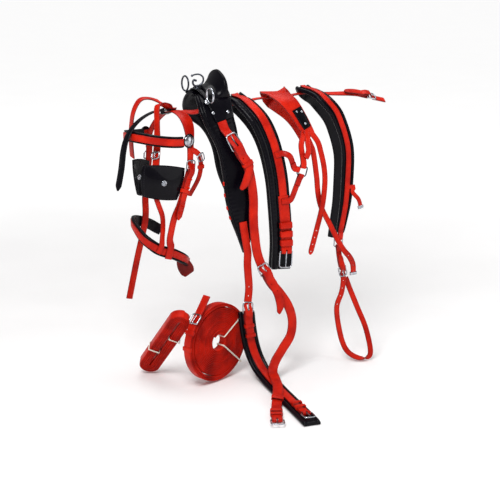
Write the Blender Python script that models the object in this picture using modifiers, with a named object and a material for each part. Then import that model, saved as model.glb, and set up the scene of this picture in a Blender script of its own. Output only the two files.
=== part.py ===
"""A single pony's driving harness: bridle, saddle, breast collar, breeching, girth and rolled reins.

Metres, +Z up. The harness hangs over a rail that runs along X. +X is the tail end, -Y is the near side.
The origin is on top of the rail, under the gullet of the saddle.
Run it with blender --background --python part.py, or from Blender's text editor.
"""

import math

import bmesh
import bpy
import numpy as np
from mathutils import Matrix, Vector

# Driving sizes: how far each part reaches from the rail, and where it lies along it
SADDLE_REACH = 0.400
GIRTH_REACH = 0.500
COLLAR_REACH = 0.500
HIP_REACH = 0.500
BREECHING_REACH = 0.500
BACK_STRAP_REACH = 0.500
BRIDLE_REACH = 0.500
FLOOR_DEPTH = 0.710
COLLAR_PLACE = 0.088
HIP_PLACE = 0.205
BREECHING_PLACE = 0.296
BRIDLE_PLACE = 0.098
SADDLE_TURN = math.radians(8)
BRIDLE_TURN = math.radians(24)

# Clearances and steps
GAP = 0.0004
STATION_STEP = 0.024
SPAN_SAMPLES = 12
OVERRUN = 0.002

# Straps
LEATHER = 0.0035
THIN_LEATHER = 0.0030
WIDE_STRAP = 0.027
STRAP = 0.022
NARROW_STRAP = 0.016
KEEPER_LENGTH = 0.010
KEEPER_WALL = 0.0022
TIP_LENGTH = 0.016
TIP_STEP_SHARES = (0.12, 0.4, 1.0)
POINT_SHARE = 0.22

# Padded pieces
PANEL_THICK = 0.014
COLLAR_PAD_WIDTH = 0.058
COLLAR_PAD_THICK = 0.011
BREECHING_PAD_WIDTH = 0.040
BREECHING_PAD_THICK = 0.010
GIRTH_PAD_WIDTH = 0.048
GIRTH_PAD_THICK = 0.010
BAND_PAD_THICK = 0.007

# Buckles
BUCKLE_WIRE = 0.0038
BUCKLE_LENGTH = 0.028
EYE_LENGTH = 0.014
TONGUE_THICK = 0.0030
TONGUE_OPEN_DEGREES = 100.0

COLLECTION = "driving_harness"

SCARLET = (0.78, 0.05, 0.03, 1.0)
BLACK = (0.01, 0.01, 0.02, 1.0)
CHROME = (0.72, 0.73, 0.75, 1.0)


def reset_scene():
    """Removes the objects of the open file and makes the harness's collection."""
    for obj in list(bpy.data.objects):
        bpy.data.objects.remove(obj, do_unlink=True)
    parts = bpy.data.collections.new(COLLECTION)
    bpy.context.scene.collection.children.link(parts)
    cutters = bpy.data.collections.new("cutters")
    cutters.hide_render = True
    bpy.context.scene.collection.children.link(cutters)
    return parts, cutters


PARTS, CUTTERS = reset_scene()


def material(name, color, roughness, metallic):
    """A Principled BSDF material."""
    made = bpy.data.materials.new(name)
    made.use_nodes = True
    shader = made.node_tree.nodes["Principled BSDF"]
    shader.inputs["Base Color"].default_value = color
    shader.inputs["Roughness"].default_value = roughness
    shader.inputs["Metallic"].default_value = metallic
    return made


RED_LEATHER = material("red_leather", SCARLET, 0.45, 0.0)
BLACK_LEATHER = material("black_leather", BLACK, 0.4, 0.0)
POLISHED_STEEL = material("polished_steel", CHROME, 0.2, 1.0)


def unit(v):
    return v / np.linalg.norm(v)


def vec(x, y, z):
    return np.array((x, y, z), float)


TAILWARD = vec(1, 0, 0)
FARWARD = vec(0, 1, 0)
NEARWARD = vec(0, -1, 0)
UPWARD = vec(0, 0, 1)


class Frame:
    """A place that is turned about Z and moved, for the pieces that hang askew on the rail."""

    def __init__(self, turn, place):
        self.turn = np.array(Matrix.Rotation(turn, 3, "Z"))
        self.place = place

    def __call__(self, point):
        return self.turn @ np.asarray(point, float) + self.place

    def way(self, direction):
        return self.turn @ np.asarray(direction, float)


ON_RAIL = Frame(0.0, vec(0, 0, 0))
ON_SADDLE = Frame(SADDLE_TURN, vec(0, 0, 0))
ON_BRIDLE = Frame(BRIDLE_TURN, vec(-BRIDLE_PLACE, 0, 0))


def places(frame, reach, shares, start=(0, 0, 0)):
    """The points of a table of shares of one reach, from a start, in a frame."""
    return [frame(np.asarray(start, float) + reach * np.asarray(row, float)) for row in shares]


def dropped(start, reach, floor, shares):
    """Points from a start down to a floor: a table of shares, of one reach to the side and of the drop left."""
    drop = start[2] - floor
    return [start + vec(reach * x, reach * y, -drop * z) for x, y, z in shares]


class Route:
    """A polyline read from a smooth curve through points, with a way across and a way out at each station.

    Every piece on it is placed by its distance along, its offset to the side and its offset out, and the
    stations' values are blended straight between them, so layers on one route stay parallel.
    """

    def __init__(self, points, across=TAILWARD, step=STATION_STEP):
        pts = np.array(points, float)
        across = np.array(across, float)
        if across.ndim == 1:
            across = np.tile(across, (len(pts), 1))
        tangents = np.gradient(pts, axis=0)
        dense, side = [], []
        for i in range(len(pts) - 1):
            u = np.linspace(0, 1, SPAN_SAMPLES, endpoint=False)[:, None]
            dense.append((2 * u**3 - 3 * u**2 + 1) * pts[i] + (u**3 - 2 * u**2 + u) * tangents[i]
                         + (3 * u**2 - 2 * u**3) * pts[i + 1] + (u**3 - u**2) * tangents[i + 1])
            side.append((1 - u) * across[i] + u * across[i + 1])
        dense = np.vstack(dense + [pts[-1:]])
        side = np.vstack(side + [across[-1:]])
        run = np.concatenate([[0], np.cumsum(np.linalg.norm(np.diff(dense, axis=0), axis=1))])
        count = max(2, int(round(run[-1] / step)) + 1)
        at = np.linspace(0, run[-1], count)
        self.points = np.stack([np.interp(at, run, dense[:, k]) for k in range(3)], 1)
        side = np.stack([np.interp(at, run, side[:, k]) for k in range(3)], 1)
        ways = np.gradient(self.points, axis=0)
        ways /= np.linalg.norm(ways, axis=1)[:, None]
        side -= np.sum(side * ways, 1)[:, None] * ways
        self.side = side / np.linalg.norm(side, axis=1)[:, None]
        self.out = np.cross(ways, self.side)
        self.along = np.concatenate([[0], np.cumsum(np.linalg.norm(np.diff(self.points, axis=0), axis=1))])
        self.length = self.along[-1]

    def at(self, s, side=0.0, out=0.0):
        """The point at distance s, moved to the side and out. Past an end the route runs on straight."""
        i = int(np.clip(np.searchsorted(self.along, s, side="right") - 1, 0, len(self.along) - 2))
        u = (s - self.along[i]) / (self.along[i + 1] - self.along[i])
        k = np.clip(u, 0, 1)
        point = (1 - u) * self.points[i] + u * self.points[i + 1]
        return (point + side * ((1 - k) * self.side[i] + k * self.side[i + 1])
                + out * ((1 - k) * self.out[i] + k * self.out[i + 1]))

    def axes(self, s):
        """The ways along, across and out at distance s, square to each other."""
        step = OVERRUN / 2
        along = unit(self.at(s + step) - self.at(s - step))
        across = self.at(s, 1.0) - self.at(s)
        across = unit(across - (across @ along) * along)
        return along, across, np.cross(along, across)

    def stations(self, start, end):
        """The distances of the stations from start to end, with both ends."""
        inner = [a for a in self.along if start + GAP * 4 < a < end - GAP * 4]
        return [start] + inner + [end]

    def nearest(self, height):
        """The first distance from the end at which the route reaches a height."""
        for i in range(len(self.along) - 1, 0, -1):
            low, high = self.points[i][2], self.points[i - 1][2]
            if low <= height <= high:
                return self.along[i] - (height - low) / (high - low) * (self.along[i] - self.along[i - 1])
        return self.along[-1]

    def first_above(self, height):
        """The first distance at which the route comes up to a height."""
        for i in range(1, len(self.along)):
            low, high = self.points[i - 1][2], self.points[i][2]
            if low <= height <= high:
                return self.along[i - 1] + (height - low) / (high - low) * (self.along[i] - self.along[i - 1])
        return self.along[0]

    def first_below(self, height):
        """The first distance at which the route comes down to a height."""
        for i in range(1, len(self.along)):
            high, low = self.points[i - 1][2], self.points[i][2]
            if low <= height <= high:
                return self.along[i - 1] + (high - height) / (high - low) * (self.along[i] - self.along[i - 1])
        return self.along[-1]


def add_object(name, mesh, finish, smooth=30):
    """One object of the harness, made from a mesh."""
    obj = bpy.data.objects.new(name, mesh)
    PARTS.objects.link(obj)
    mesh.materials.clear()
    mesh.materials.append(finish)
    mesh.shade_smooth()
    mesh.set_sharp_from_angle(angle=math.radians(smooth))
    return obj


def mesh_from(points, faces, name="shape"):
    mesh = bpy.data.meshes.new(name)
    mesh.from_pydata([tuple(p) for p in points], [], faces)
    mesh.update()
    return mesh


def applied(obj):
    """The mesh that an object's modifiers give, in world space. The object is removed."""
    bpy.context.view_layer.update()
    graph = bpy.context.evaluated_depsgraph_get()
    mesh = bpy.data.meshes.new_from_object(obj.evaluated_get(graph), depsgraph=graph)
    mesh.transform(obj.matrix_world)
    bpy.data.objects.remove(obj, do_unlink=True)
    bm = bmesh.new()
    bm.from_mesh(mesh)
    bmesh.ops.remove_doubles(bm, verts=bm.verts, dist=GAP / 20)
    bm.to_mesh(mesh)
    bm.free()
    return mesh


def tip_width(distance, kind):
    """The share of the full width at a distance from a strap's tip: square, round or pointed."""
    if kind == "square" or distance >= TIP_LENGTH:
        return 1.0
    u = distance / TIP_LENGTH
    if kind == "round":
        return math.sqrt(max(1 - (1 - u) ** 2, 0.02))
    return POINT_SHARE + (1 - POINT_SHARE) * u


def ribbon(route, start, end, width, thick, out=0.0, side=0.0, last="square", swell=None, columns=1):
    """A strap's mesh: an open strip of the route's stations, given its thickness by Solidify."""
    marks = set(route.stations(start, end))
    for share in TIP_STEP_SHARES:
        if last != "square":
            marks.add(end - share * TIP_LENGTH)
    marks = sorted(marks)
    rows = []
    for s in marks:
        half = width / 2 * tip_width(end - s, last)
        if swell is not None:
            half *= swell((s - start) / (end - start))
        rows += [route.at(s, side + half * (2 * k / columns - 1), out) for k in range(columns + 1)]
    n = columns + 1
    faces = [(n * i + k, n * (i + 1) + k, n * (i + 1) + k + 1, n * i + k + 1)
             for i in range(len(marks) - 1) for k in range(columns)]
    obj = add_object("strip", mesh_from(rows, faces), RED_LEATHER)
    solid = obj.modifiers.new("thickness", "SOLIDIFY")
    solid.thickness = thick
    solid.offset = 1.0
    solid.use_even_offset = False
    return applied(obj)


def pad_mesh(route, start, end, width, thick, out=0.0, side=0.0, ends=0.6, swell=None, shift=None):
    """A padded strip: crowned sections with drawn-in sides, lofted along a route.

    A section is flat below and nearly flat on top, where a strap lies, and its sides are rounded and drawn in.
    """
    profile = [(-0.95, 0.0), (-1.0, 0.42), (-0.6, 0.98), (0.6, 0.98), (1.0, 0.42), (0.95, 0.0)]
    marks = route.stations(start, end)
    rings = []
    for s in marks:
        u = (s - start) / (end - start)
        edge = min(s - start, end - s)
        round_end = ends + (1 - ends) * min(1.0, edge / (width / 3))
        half = width / 2 * (swell(u) if swell else 1.0)
        offset = side + (shift(u) if shift else 0.0)
        rings.append([route.at(s, offset + v * half, out + h * thick * round_end) for v, h in profile])
    return loft(rings)


def loft(rings, closed=False):
    """A closed skin over rings of the same number of points. Open lofts get flat caps."""
    n = len(rings[0])
    count = len(rings)
    points = [p for ring in rings for p in ring]
    faces = []
    for i in range(count if closed else count - 1):
        j = (i + 1) % count
        for k in range(n):
            m = (k + 1) % n
            faces.append((i * n + k, i * n + m, j * n + m, j * n + k))
    if not closed:
        faces.append(tuple(range(n))[::-1])
        faces.append(tuple((count - 1) * n + k for k in range(n)))
    mesh = mesh_from(points, faces)
    bm = bmesh.new()
    bm.from_mesh(mesh)
    bmesh.ops.recalc_face_normals(bm, faces=bm.faces)
    bm.to_mesh(mesh)
    bm.free()
    return mesh


def keeper_mesh(route, s, width, low, high, side=0.0, length=KEEPER_LENGTH):
    """A strap keeper: a flat loop round what lies between two offsets out."""
    outer = [(-1, -1), (1, -1), (1, 1), (-1, 1)]
    half = width / 2 + GAP
    rings = []
    for ds, wall in ((-length / 2, KEEPER_WALL), (length / 2, KEEPER_WALL), (length / 2, 0), (-length / 2, 0)):
        ring = []
        for v, h in outer:
            level = (high + wall) if h > 0 else (low - wall)
            ring.append(route.at(s + ds, side + v * (half + wall), level))
        rings.append(ring)
    return loft(rings, closed=True)


def joined(name, meshes, finish, smooth=30):
    """One solid: the Boolean union of closed meshes."""
    base = add_object(name, meshes[0], finish, smooth)
    for mesh in meshes[1:]:
        other = add_object("piece", mesh, finish, smooth)
        boolean = base.modifiers.new("join", "BOOLEAN")
        boolean.operation = "UNION"
        boolean.object = other
        result = applied(base)
        bpy.data.objects.remove(other, do_unlink=True)
        base = add_object(name, result, finish, smooth)
    return base


def cut(obj, mesh):
    """Takes a closed mesh away from an object, which keeps its name."""
    name, finish = obj.name, obj.data.materials[0]
    obj.name = "uncut"
    cutter = bpy.data.objects.new("cutter", mesh)
    CUTTERS.objects.link(cutter)
    cutter.hide_render = True
    cutter.display_type = "WIRE"
    boolean = obj.modifiers.new("cut", "BOOLEAN")
    boolean.operation = "DIFFERENCE"
    boolean.object = cutter
    result = applied(obj)
    bpy.data.objects.remove(cutter, do_unlink=True)
    return add_object(name, result, finish)


def wire_mesh(points, diameter, cyclic=False, sides=6, name="wire"):
    """A round wire along points, as a bevelled poly curve with filled caps."""
    curve = bpy.data.curves.new(name, "CURVE")
    curve.dimensions = "3D"
    curve.bevel_depth = diameter / 2
    curve.bevel_resolution = (sides - 4) // 2
    curve.use_fill_caps = True
    spline = curve.splines.new("POLY")
    spline.points.add(len(points) - 1)
    for target, p in zip(spline.points, points):
        target.co = (p[0], p[1], p[2], 1.0)
    spline.use_cyclic_u = cyclic
    obj = bpy.data.objects.new(name, curve)
    PARTS.objects.link(obj)
    return applied(obj)


def rounded_loop(centre, along, across, length, width, corner, arcs=3):
    """The points of a rectangle with round corners, in the plane of two ways."""
    points = []
    for sx, sy, start in ((1, 1, 0), (-1, 1, 90), (-1, -1, 180), (1, -1, 270)):
        cx, cy = sx * (length / 2 - corner), sy * (width / 2 - corner)
        for k in range(arcs + 1):
            angle = math.radians(start + 90 * k / arcs)
            points.append(centre + along * (cx + corner * math.cos(angle)) + across * (cy + corner * math.sin(angle)))
    return points


def with_stations(route, steps):
    """The (distance, offset out) steps, with the route's own stations put in between them."""
    full = [steps[0]]
    for (s0, o0), (s1, o1) in zip(steps, steps[1:]):
        low, high = min(s0, s1), max(s0, s1)
        inner = [a for a in route.along if low + GAP * 4 < a < high - GAP * 4]
        if s1 < s0:
            inner.reverse()
        full += [(a, o0 + (o1 - o0) * (a - s0) / (s1 - s0)) for a in inner]
        full.append((s1, o1))
    return full


ARC_DEGREES = (-45, 0, 45, 90)


def strip_mesh(route, steps, width, thick, side=0.0, widths=None, way=1, drift=None):
    """A strap's mesh along (distance, offset out) steps, which give its underside where they run the given way."""
    rows = []
    for k, (s, out) in enumerate(steps):
        half = width / 2 * (widths[k] if widths else 1.0)
        middle = side + (drift(s) if drift else 0.0)
        rows += [route.at(s, middle - half, out), route.at(s, middle + half, out)]
    faces = [(2 * i, 2 * i + 2, 2 * i + 3, 2 * i + 1) for i in range(len(steps) - 1)]
    obj = add_object("strip", mesh_from(rows, faces), RED_LEATHER)
    solid = obj.modifiers.new("thickness", "SOLIDIFY")
    solid.thickness = thick
    solid.offset = float(way)
    return applied(obj)


def box_along(route, ends, half, low, high, side=0.0):
    """A cutter's box along a route, between two distances and two offsets out."""
    corners = [(-half, low), (half, low), (half, high), (-half, high)]
    return loft([[route.at(s, side + v, h) for v, h in corners] for s in sorted(ends)])


class Buckle:
    """A buckle on a route: a wire loop whose bar is at s_bar, and whose far side lies the given way along.

    The carrying strap comes from the other way with its underside at base. Its end turns round the bar and
    comes back on top of itself. A second strap passes under the far side, over the bar and on along it.
    """

    def __init__(self, route, s_bar, way, base, width, thick=LEATHER, length=BUCKLE_LENGTH, side=0.0):
        self.route, self.s_bar, self.way, self.base = route, s_bar, way, base
        self.width, self.thick, self.length, self.side = width, thick, length, side
        self.turn = BUCKLE_WIRE / 2 + 2 * GAP + thick
        self.level = base + self.turn

    def carrier_steps(self):
        """Steps of the turned end, from where the strap's underside reaches the bar."""
        steps = [(self.s_bar, self.base)]
        for degrees in ARC_DEGREES:
            a = math.radians(degrees)
            steps.append((self.s_bar + self.way * self.turn * math.cos(a), self.level + self.turn * math.sin(a)))
        top = self.base + 2 * self.thick + GAP
        fall = max(self.length * 0.4, self.turn * 1.9)
        return steps + [(self.s_bar - self.way * fall, top), (self.s_bar - self.way * (self.length + OVERRUN), top)]

    def carrier(self, start, other=None):
        """The carrying strap from a distance, or from another buckle on it, with the tongue's slot cut out."""
        first = list(reversed(other.carrier_steps())) if other else [(start, self.base)]
        steps = with_stations(self.route, first + self.carrier_steps())
        return strip_mesh(self.route, steps, self.width, self.thick, self.side, way=self.way)

    def slot(self):
        ring = BUCKLE_WIRE / 2 + 2 * GAP + TONGUE_THICK
        ends = (self.s_bar - self.way * ring, self.s_bar + self.way * (self.turn + OVERRUN))
        low, high = self.base - OVERRUN, self.base + 2 * self.turn + OVERRUN
        return box_along(self.route, ends, TONGUE_THICK / 2 + 2 * GAP, low, high, self.side)

    def billet_steps(self, tip):
        """Steps of the second strap, from beyond the far side to its tip at a distance past the bar."""
        over = self.base + 2 * self.turn + GAP
        rest = self.base + 2 * (self.thick + GAP)
        marks = [(self.length + self.turn, self.base), (self.length - self.turn * 1.6, self.base), (self.turn, over),
                 (-self.turn * 0.8, over), (-self.length * 0.6, rest), (-tip, rest)]
        return [(self.s_bar + self.way * x, out) for x, out in marks]

    def billet(self, start, tip, shape="round", first=None, drift=None):
        """The second strap, from a distance, or from the steps of another turned end, to its tip."""
        marks = (first or [(start, self.base)]) + self.billet_steps(tip)
        s_tip, rest = marks.pop()
        marks += [(s_tip + self.way * share * TIP_LENGTH, rest) for share in (1.0, 0.5, 0.15, 0.0)]
        steps = with_stations(self.route, marks)
        fore = len(with_stations(self.route, first)) if first else 0
        widths = [tip_width(abs(s_tip - s), shape) if k > fore else 1.0 for k, (s, _) in enumerate(steps)]
        return strip_mesh(self.route, steps, self.width, self.thick, self.side, widths, -self.way, drift)

    def billet_hole(self):
        """The cutter of the long hole that the tongue comes up through in the second strap."""
        ends = [self.s_bar + self.way * x for x in (self.turn, self.length * 0.75)]
        low, high = self.base - OVERRUN, self.base + 3 * self.turn + OVERRUN
        return box_along(self.route, ends, TONGUE_THICK / 2 + 3 * GAP, low, high, self.side)

    def keeper(self, distance, stack, length=KEEPER_LENGTH):
        """A keeper sewn into the carrying strap, at a distance behind the bar, round so many layers."""
        s = self.s_bar - self.way * distance
        low = self.base + KEEPER_WALL + GAP
        high = self.base + stack * (self.thick + GAP)
        return keeper_mesh(self.route, s, self.width, low, high, self.side, length)

    def frame(self):
        corner = 2 * BUCKLE_WIRE
        half = self.width / 2 + BUCKLE_WIRE / 2 + 3 * GAP
        flat = []
        for far, sy, start in ((1, 1, 0), (0, 1, 90), (0, -1, 180), (1, -1, 270)):
            radius = corner if far else corner / 4
            cx = self.length - corner if far else radius
            count = 2 if far else 1
            for k in range(count + 1):
                a = math.radians(start + 90 * k / count)
                flat.append((cx + radius * math.cos(a), sy * (half - radius) + radius * math.sin(a)))
            if far != (sy < 0):
                middle = (self.length - corner + corner / 2) / 2
                flat.append((middle, sy * half))
        points = [self.route.at(self.s_bar + self.way * x, self.side + y, self.level) for x, y in flat]
        return wire_mesh(points, BUCKLE_WIRE, cyclic=True)

    def hinge(self):
        """The tongue's place on the bar and its ways: along the pin, out, and across, the hinge's axis."""
        bar = self.route.at(self.s_bar, self.side, self.level)
        along = unit(self.route.at(self.s_bar + self.way * self.length, self.side, self.level) - bar)
        across = self.route.at(self.s_bar, self.side + 1, self.level) - bar
        across = unit(across - (across @ along) * along)
        out = np.cross(along, across) * self.way
        return bar, along, out, np.cross(along, out)

    def tongue(self, clearance=GAP):
        """An open eye bent round the bar and a pin that lies over the far side."""
        bar, along, out, across = self.hinge()
        inner = BUCKLE_WIRE / 2 + clearance
        outer = inner + TONGUE_THICK * 0.6
        reach = self.length + BUCKLE_WIRE * 0.6
        flat = [(reach, inner), (reach, inner + TONGUE_THICK * 0.35), (reach * 0.4, outer)]
        flat += [(outer * math.cos(a), outer * math.sin(a)) for a in np.radians((90, 130, 170, 210, 250, 290, 320))]
        flat += [(inner * math.cos(a), inner * math.sin(a)) for a in np.radians((320, 290, 250, 210, 170, 130, 90))]
        curve = bpy.data.curves.new("tongue", "CURVE")
        curve.dimensions = "2D"
        curve.fill_mode = "BOTH"
        curve.extrude = TONGUE_THICK / 2
        spline = curve.splines.new("POLY")
        spline.points.add(len(flat) - 1)
        for target, (x, y) in zip(spline.points, flat):
            target.co = (x, y, 0.0, 1.0)
        spline.use_cyclic_u = True
        obj = bpy.data.objects.new("tongue", curve)
        PARTS.objects.link(obj)
        turn = Matrix((along, out, across)).transposed().to_4x4()
        turn.translation = Vector(bar)
        obj.matrix_world = turn
        return applied(obj)


def hinged(name, mesh, finish, at):
    """An object whose origin is on its joint's axis."""
    mesh.transform(Matrix.Translation(-Vector(at)))
    obj = add_object(name, mesh, finish)
    obj.location = Vector(at)
    return obj


def turned_mesh(profile, foot, up, steps=12):
    """A turned piece: (radius, height) rows from its top down to its foot, spun by a Screw modifier."""
    mesh = mesh_from([(r, 0.0, h) for r, h in profile], [])
    bm = bmesh.new()
    bm.from_mesh(mesh)
    bm.verts.ensure_lookup_table()
    for i in range(len(profile) - 1):
        bm.edges.new((bm.verts[i], bm.verts[i + 1]))
    bm.to_mesh(mesh)
    bm.free()
    obj = bpy.data.objects.new("turned", mesh)
    PARTS.objects.link(obj)
    screw = obj.modifiers.new("spin", "SCREW")
    screw.steps = steps
    screw.render_steps = steps
    screw.use_merge_vertices = True
    screw.merge_threshold = 0.00005
    obj.matrix_world = Matrix.Translation(Vector(foot)) @ Vector(UPWARD).rotation_difference(Vector(up)).to_matrix().to_4x4()
    mesh = applied(obj)
    bm = bmesh.new()
    bm.from_mesh(mesh)
    bmesh.ops.recalc_face_normals(bm, faces=bm.faces)
    bm.to_mesh(mesh)
    bm.free()
    return mesh


def add_closed_buckle(prefix, buckle):
    """A buckle whose tongue is held by the strap through it, as one solid."""
    joined(prefix + "_buckle", [buckle.frame(), buckle.tongue(-GAP)], POLISHED_STEEL)


def add_buckle(prefix, buckle):
    """The frame and the tongue of a buckle, as two objects."""
    add_object(prefix + "_buckle", buckle.frame(), POLISHED_STEEL)
    hinged(prefix + "_tongue", buckle.tongue(), POLISHED_STEEL, buckle.hinge()[0])


# Saddle
SADDLE_NEAR_SHARES = (
    (0.0125, 0.0, 0.125), (0.01, -0.075, 0.11), (0.005, -0.145, 0.055), (0.015, -0.19, -0.025),
    (0.045, -0.225, -0.1375), (0.07, -0.25, -0.275), (0.0875, -0.275, -0.4375), (0.1, -0.3, -0.6),
    (0.115, -0.3175, -0.75), (0.135, -0.335, -0.915))
SADDLE_FAR_SHARES = (
    (0.01, 0.075, 0.11), (0.01, 0.145, 0.055), (0.04, 0.2, -0.01), (0.15, 0.225, -0.1),
    (0.26, 0.235, -0.25), (0.32, 0.24, -0.41), (0.38, 0.24, -0.59), (0.425, 0.24, -0.78), (0.455, 0.24, -0.88))
PANEL_WIDTH = 0.096
PANEL_WIDTH_SHARES = (
    (0, 0.94), (0.1, 1.0), (0.22, 0.88), (0.34, 0.7), (0.5, 0.74), (0.66, 0.85), (0.78, 0.72), (0.9, 0.42), (1, 0.17))
PANEL_SHIFT = 0.005
PANEL_SHIFT_SHARES = ((0, 0), (0.35, 0), (0.6, 1), (0.88, 1), (1, 0.3))
GULLET_HALF = 0.022
SKIRT_REACH = 0.102
SKIRT_WIDTH = 0.088
SKIRT_SHIFT = 0.012
SKIRT_WIDTH_SHARES = ((0, 0.64), (0.25, 0.84), (0.5, 1.0), (0.75, 0.84), (1, 0.64))
SKIRT_LEVEL = PANEL_THICK + 2 * GAP
SEAT_HALF = 0.044
SEAT_THICK = 0.007
SEAT_FRONT = 0.018
SEAT_REAR = 0.042
CANTLE_HEIGHT = 0.040
CANTLE_SHARES = ((0, 0.0), (0.3, 0.02), (0.5, 0.16), (0.68, 0.62), (0.8, 0.98), (0.87, 1.0), (0.94, 0.8), (1, 0.25))


def finer(marks, count):
    """Distances with each gap between them cut into so many."""
    return [a + (b - a) * k / count for a, b in zip(marks, marks[1:]) for k in range(count)] + [marks[-1]]


def share_curve(table):
    """A function that reads a smooth curve through a table of shares."""
    xs, ys = np.array(table, float).T

    def curve(u):
        return float(np.interp(u, xs, ys))
    return curve


def saddle_route():
    near = places(ON_SADDLE, SADDLE_REACH, SADDLE_NEAR_SHARES)
    far = places(ON_SADDLE, SADDLE_REACH, SADDLE_FAR_SHARES)
    route = Route(far[::-1] + near, ON_SADDLE.way(TAILWARD))
    heights = route.points[:, 2]
    return route, route.along[int(np.argmax(heights))]


SADDLE, SADDLE_TOP = saddle_route()


def make_panels():
    """The two stuffed panels that lie on the pony, either side of the gullet."""
    taper = share_curve(PANEL_WIDTH_SHARES)
    lean = share_curve(PANEL_SHIFT_SHARES)
    near = pad_mesh(SADDLE, SADDLE_TOP + GULLET_HALF, SADDLE.length, PANEL_WIDTH, PANEL_THICK, swell=taper,
                    shift=lambda u: PANEL_SHIFT * lean(u))
    add_object("near_panel", near, BLACK_LEATHER)
    far = pad_mesh(SADDLE, 0.0, SADDLE_TOP - GULLET_HALF, PANEL_WIDTH, PANEL_THICK, swell=lambda u: taper(1 - u))
    add_object("far_panel", far, BLACK_LEATHER)


def make_seat():
    """The leather-covered tree with its two skirts, and the seat with its raised cantle on top."""
    taper = share_curve(SKIRT_WIDTH_SHARES)
    start, end = SADDLE_TOP - SKIRT_REACH, SADDLE_TOP + SKIRT_REACH
    skirt = ribbon(SADDLE, start, end, SKIRT_WIDTH, LEATHER, SKIRT_LEVEL, SKIRT_SHIFT, swell=taper,
                   columns=4)
    add_object("saddle_skirt", skirt, BLACK_LEATHER)
    base = SKIRT_LEVEL + LEATHER + GAP
    cantle = share_curve(CANTLE_SHARES)
    marks = finer(SADDLE.stations(SADDLE_TOP - SEAT_HALF, SADDLE_TOP + SEAT_HALF), 2)
    across = [(s - SADDLE_TOP) / SEAT_HALF for s in marks]
    rings = []
    for u in (0, 0.08, 0.3, 0.5, 0.6, 0.68, 0.74, 0.8, 0.87, 0.94, 1.0):
        side = -SEAT_FRONT + u * (SEAT_FRONT + SEAT_REAR)
        pinch = 0.35 if u in (0, 1.0) else 1.0
        top, low = [], []
        for v in across:
            dome = max(1 - v * v, 0.0)
            rise = SEAT_THICK * pinch * (0.25 + 0.75 * dome ** 0.5) + CANTLE_HEIGHT * cantle(u) * dome ** 0.8
            top.append(SADDLE.at(SADDLE_TOP + v * SEAT_HALF, side, base + rise))
            low.append(SADDLE.at(SADDLE_TOP + v * SEAT_HALF, side, base))
        rings.append(top + low[::-1])
    add_object("saddle_seat", loft(rings), BLACK_LEATHER)


TERRET_RING = 0.040
TERRET_WIRE = 0.0042
TERRET_PLACE = 0.054
TERRET_SIDE = -0.024
TERRET_BASE_SHARES = ((0.0, 1.0), (0.4, 0.9), (0.42, 0.45), (0.9, 0.32), (1.0, 0.0), (0.0, 0.0))
TERRET_BASE = 0.0072
HOOK_REACH = 0.036
HOOK_SHARES = (
    (-0.05, 0.5), (-0.26, 0.56), (-0.34, 0.36), (-0.22, 0.16), (0.0, 0.08), (0.3, 0.2), (0.5, 0.44),
    (0.46, 0.76), (0.18, 0.96), (-0.14, 0.98), (-0.42, 0.9))
HOOK_SIDE = -0.028


def make_fittings():
    """The two terrets that the reins run through, and the hook for the bearing rein."""
    base = SKIRT_LEVEL + LEATHER + GAP
    for name, s in (("near_terret", SADDLE_TOP + TERRET_PLACE), ("far_terret", SADDLE_TOP - TERRET_PLACE)):
        along, across, out = SADDLE.axes(s)
        foot = SADDLE.at(s, TERRET_SIDE, base)
        centre = foot + out * (TERRET_RING / 2 + TERRET_WIRE * 1.6)
        ring = [centre + TERRET_RING / 2 * (along * math.cos(a) + out * math.sin(a))
                for a in np.linspace(0, 2 * math.pi, 16, endpoint=False)]
        foot_mesh = turned_mesh([(TERRET_BASE * r, TERRET_BASE * h) for r, h in TERRET_BASE_SHARES], foot, out)
        joined(name, [foot_mesh, wire_mesh(ring, TERRET_WIRE, cyclic=True)], POLISHED_STEEL)
    foot = SADDLE.at(SADDLE_TOP, HOOK_SIDE, base)
    along, across, out = SADDLE.axes(SADDLE_TOP)
    points = [foot + HOOK_REACH * (across * x + out * (h + 0.06)) for x, h in HOOK_SHARES]
    smooth = Route(points, along, step=HOOK_REACH / 8).points
    foot_mesh = turned_mesh([(TERRET_BASE * r, TERRET_BASE * h) for r, h in TERRET_BASE_SHARES], foot, out)
    joined("rein_hook", [foot_mesh, wire_mesh(smooth, TERRET_WIRE)], POLISHED_STEEL)


# Tug straps: the backband comes from under the skirt and buckles to the strap that bears the shaft, whose
# end is buckled to the belly band. The belly band runs down over the girth to the floor.
TUG_SHARES = (
    (0.06, -0.295, -0.1375), (0.12, -0.3175, -0.2525), (0.168, -0.3325, -0.3425), (0.197, -0.345, -0.525),
    (0.185, -0.372, -0.665), (0.182, -0.39, -0.7675), (0.205, -0.402, -0.94))
BELLY_SHARES = (
    (0.055, -0.024, 0.202), (0.113, -0.03, 0.315), (0.163, -0.038, 0.436), (0.183, -0.048, 0.558),
    (0.165, -0.068, 0.679), (0.107, -0.096, 0.776), (0.057, -0.12, 0.861), (0.029, -0.154, 0.927),
    (0.015, -0.228, 0.946), (-0.015, -0.344, 0.946), (-0.051, -0.434, 0.961), (-0.087, -0.514, 0.994),
    (-0.127, -0.614, 1.0), (-0.157, -0.704, 1.0))
TUG_BUCKLE_LENGTH = 0.040
TUG_BAR_PLACE = 0.084
TUG_TIP = 0.115
TUG_TIP_DRIFT = 0.034
BELLY_BAR_SHARE = 0.148
BELLY_LIFT = 0.004
BELLY_TIP = 0.118
BELLY_TIP_HELD = 0.030
BELLY_TIP_DRIFT = 0.036
FAR_TUG_SHARE = 0.65


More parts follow.
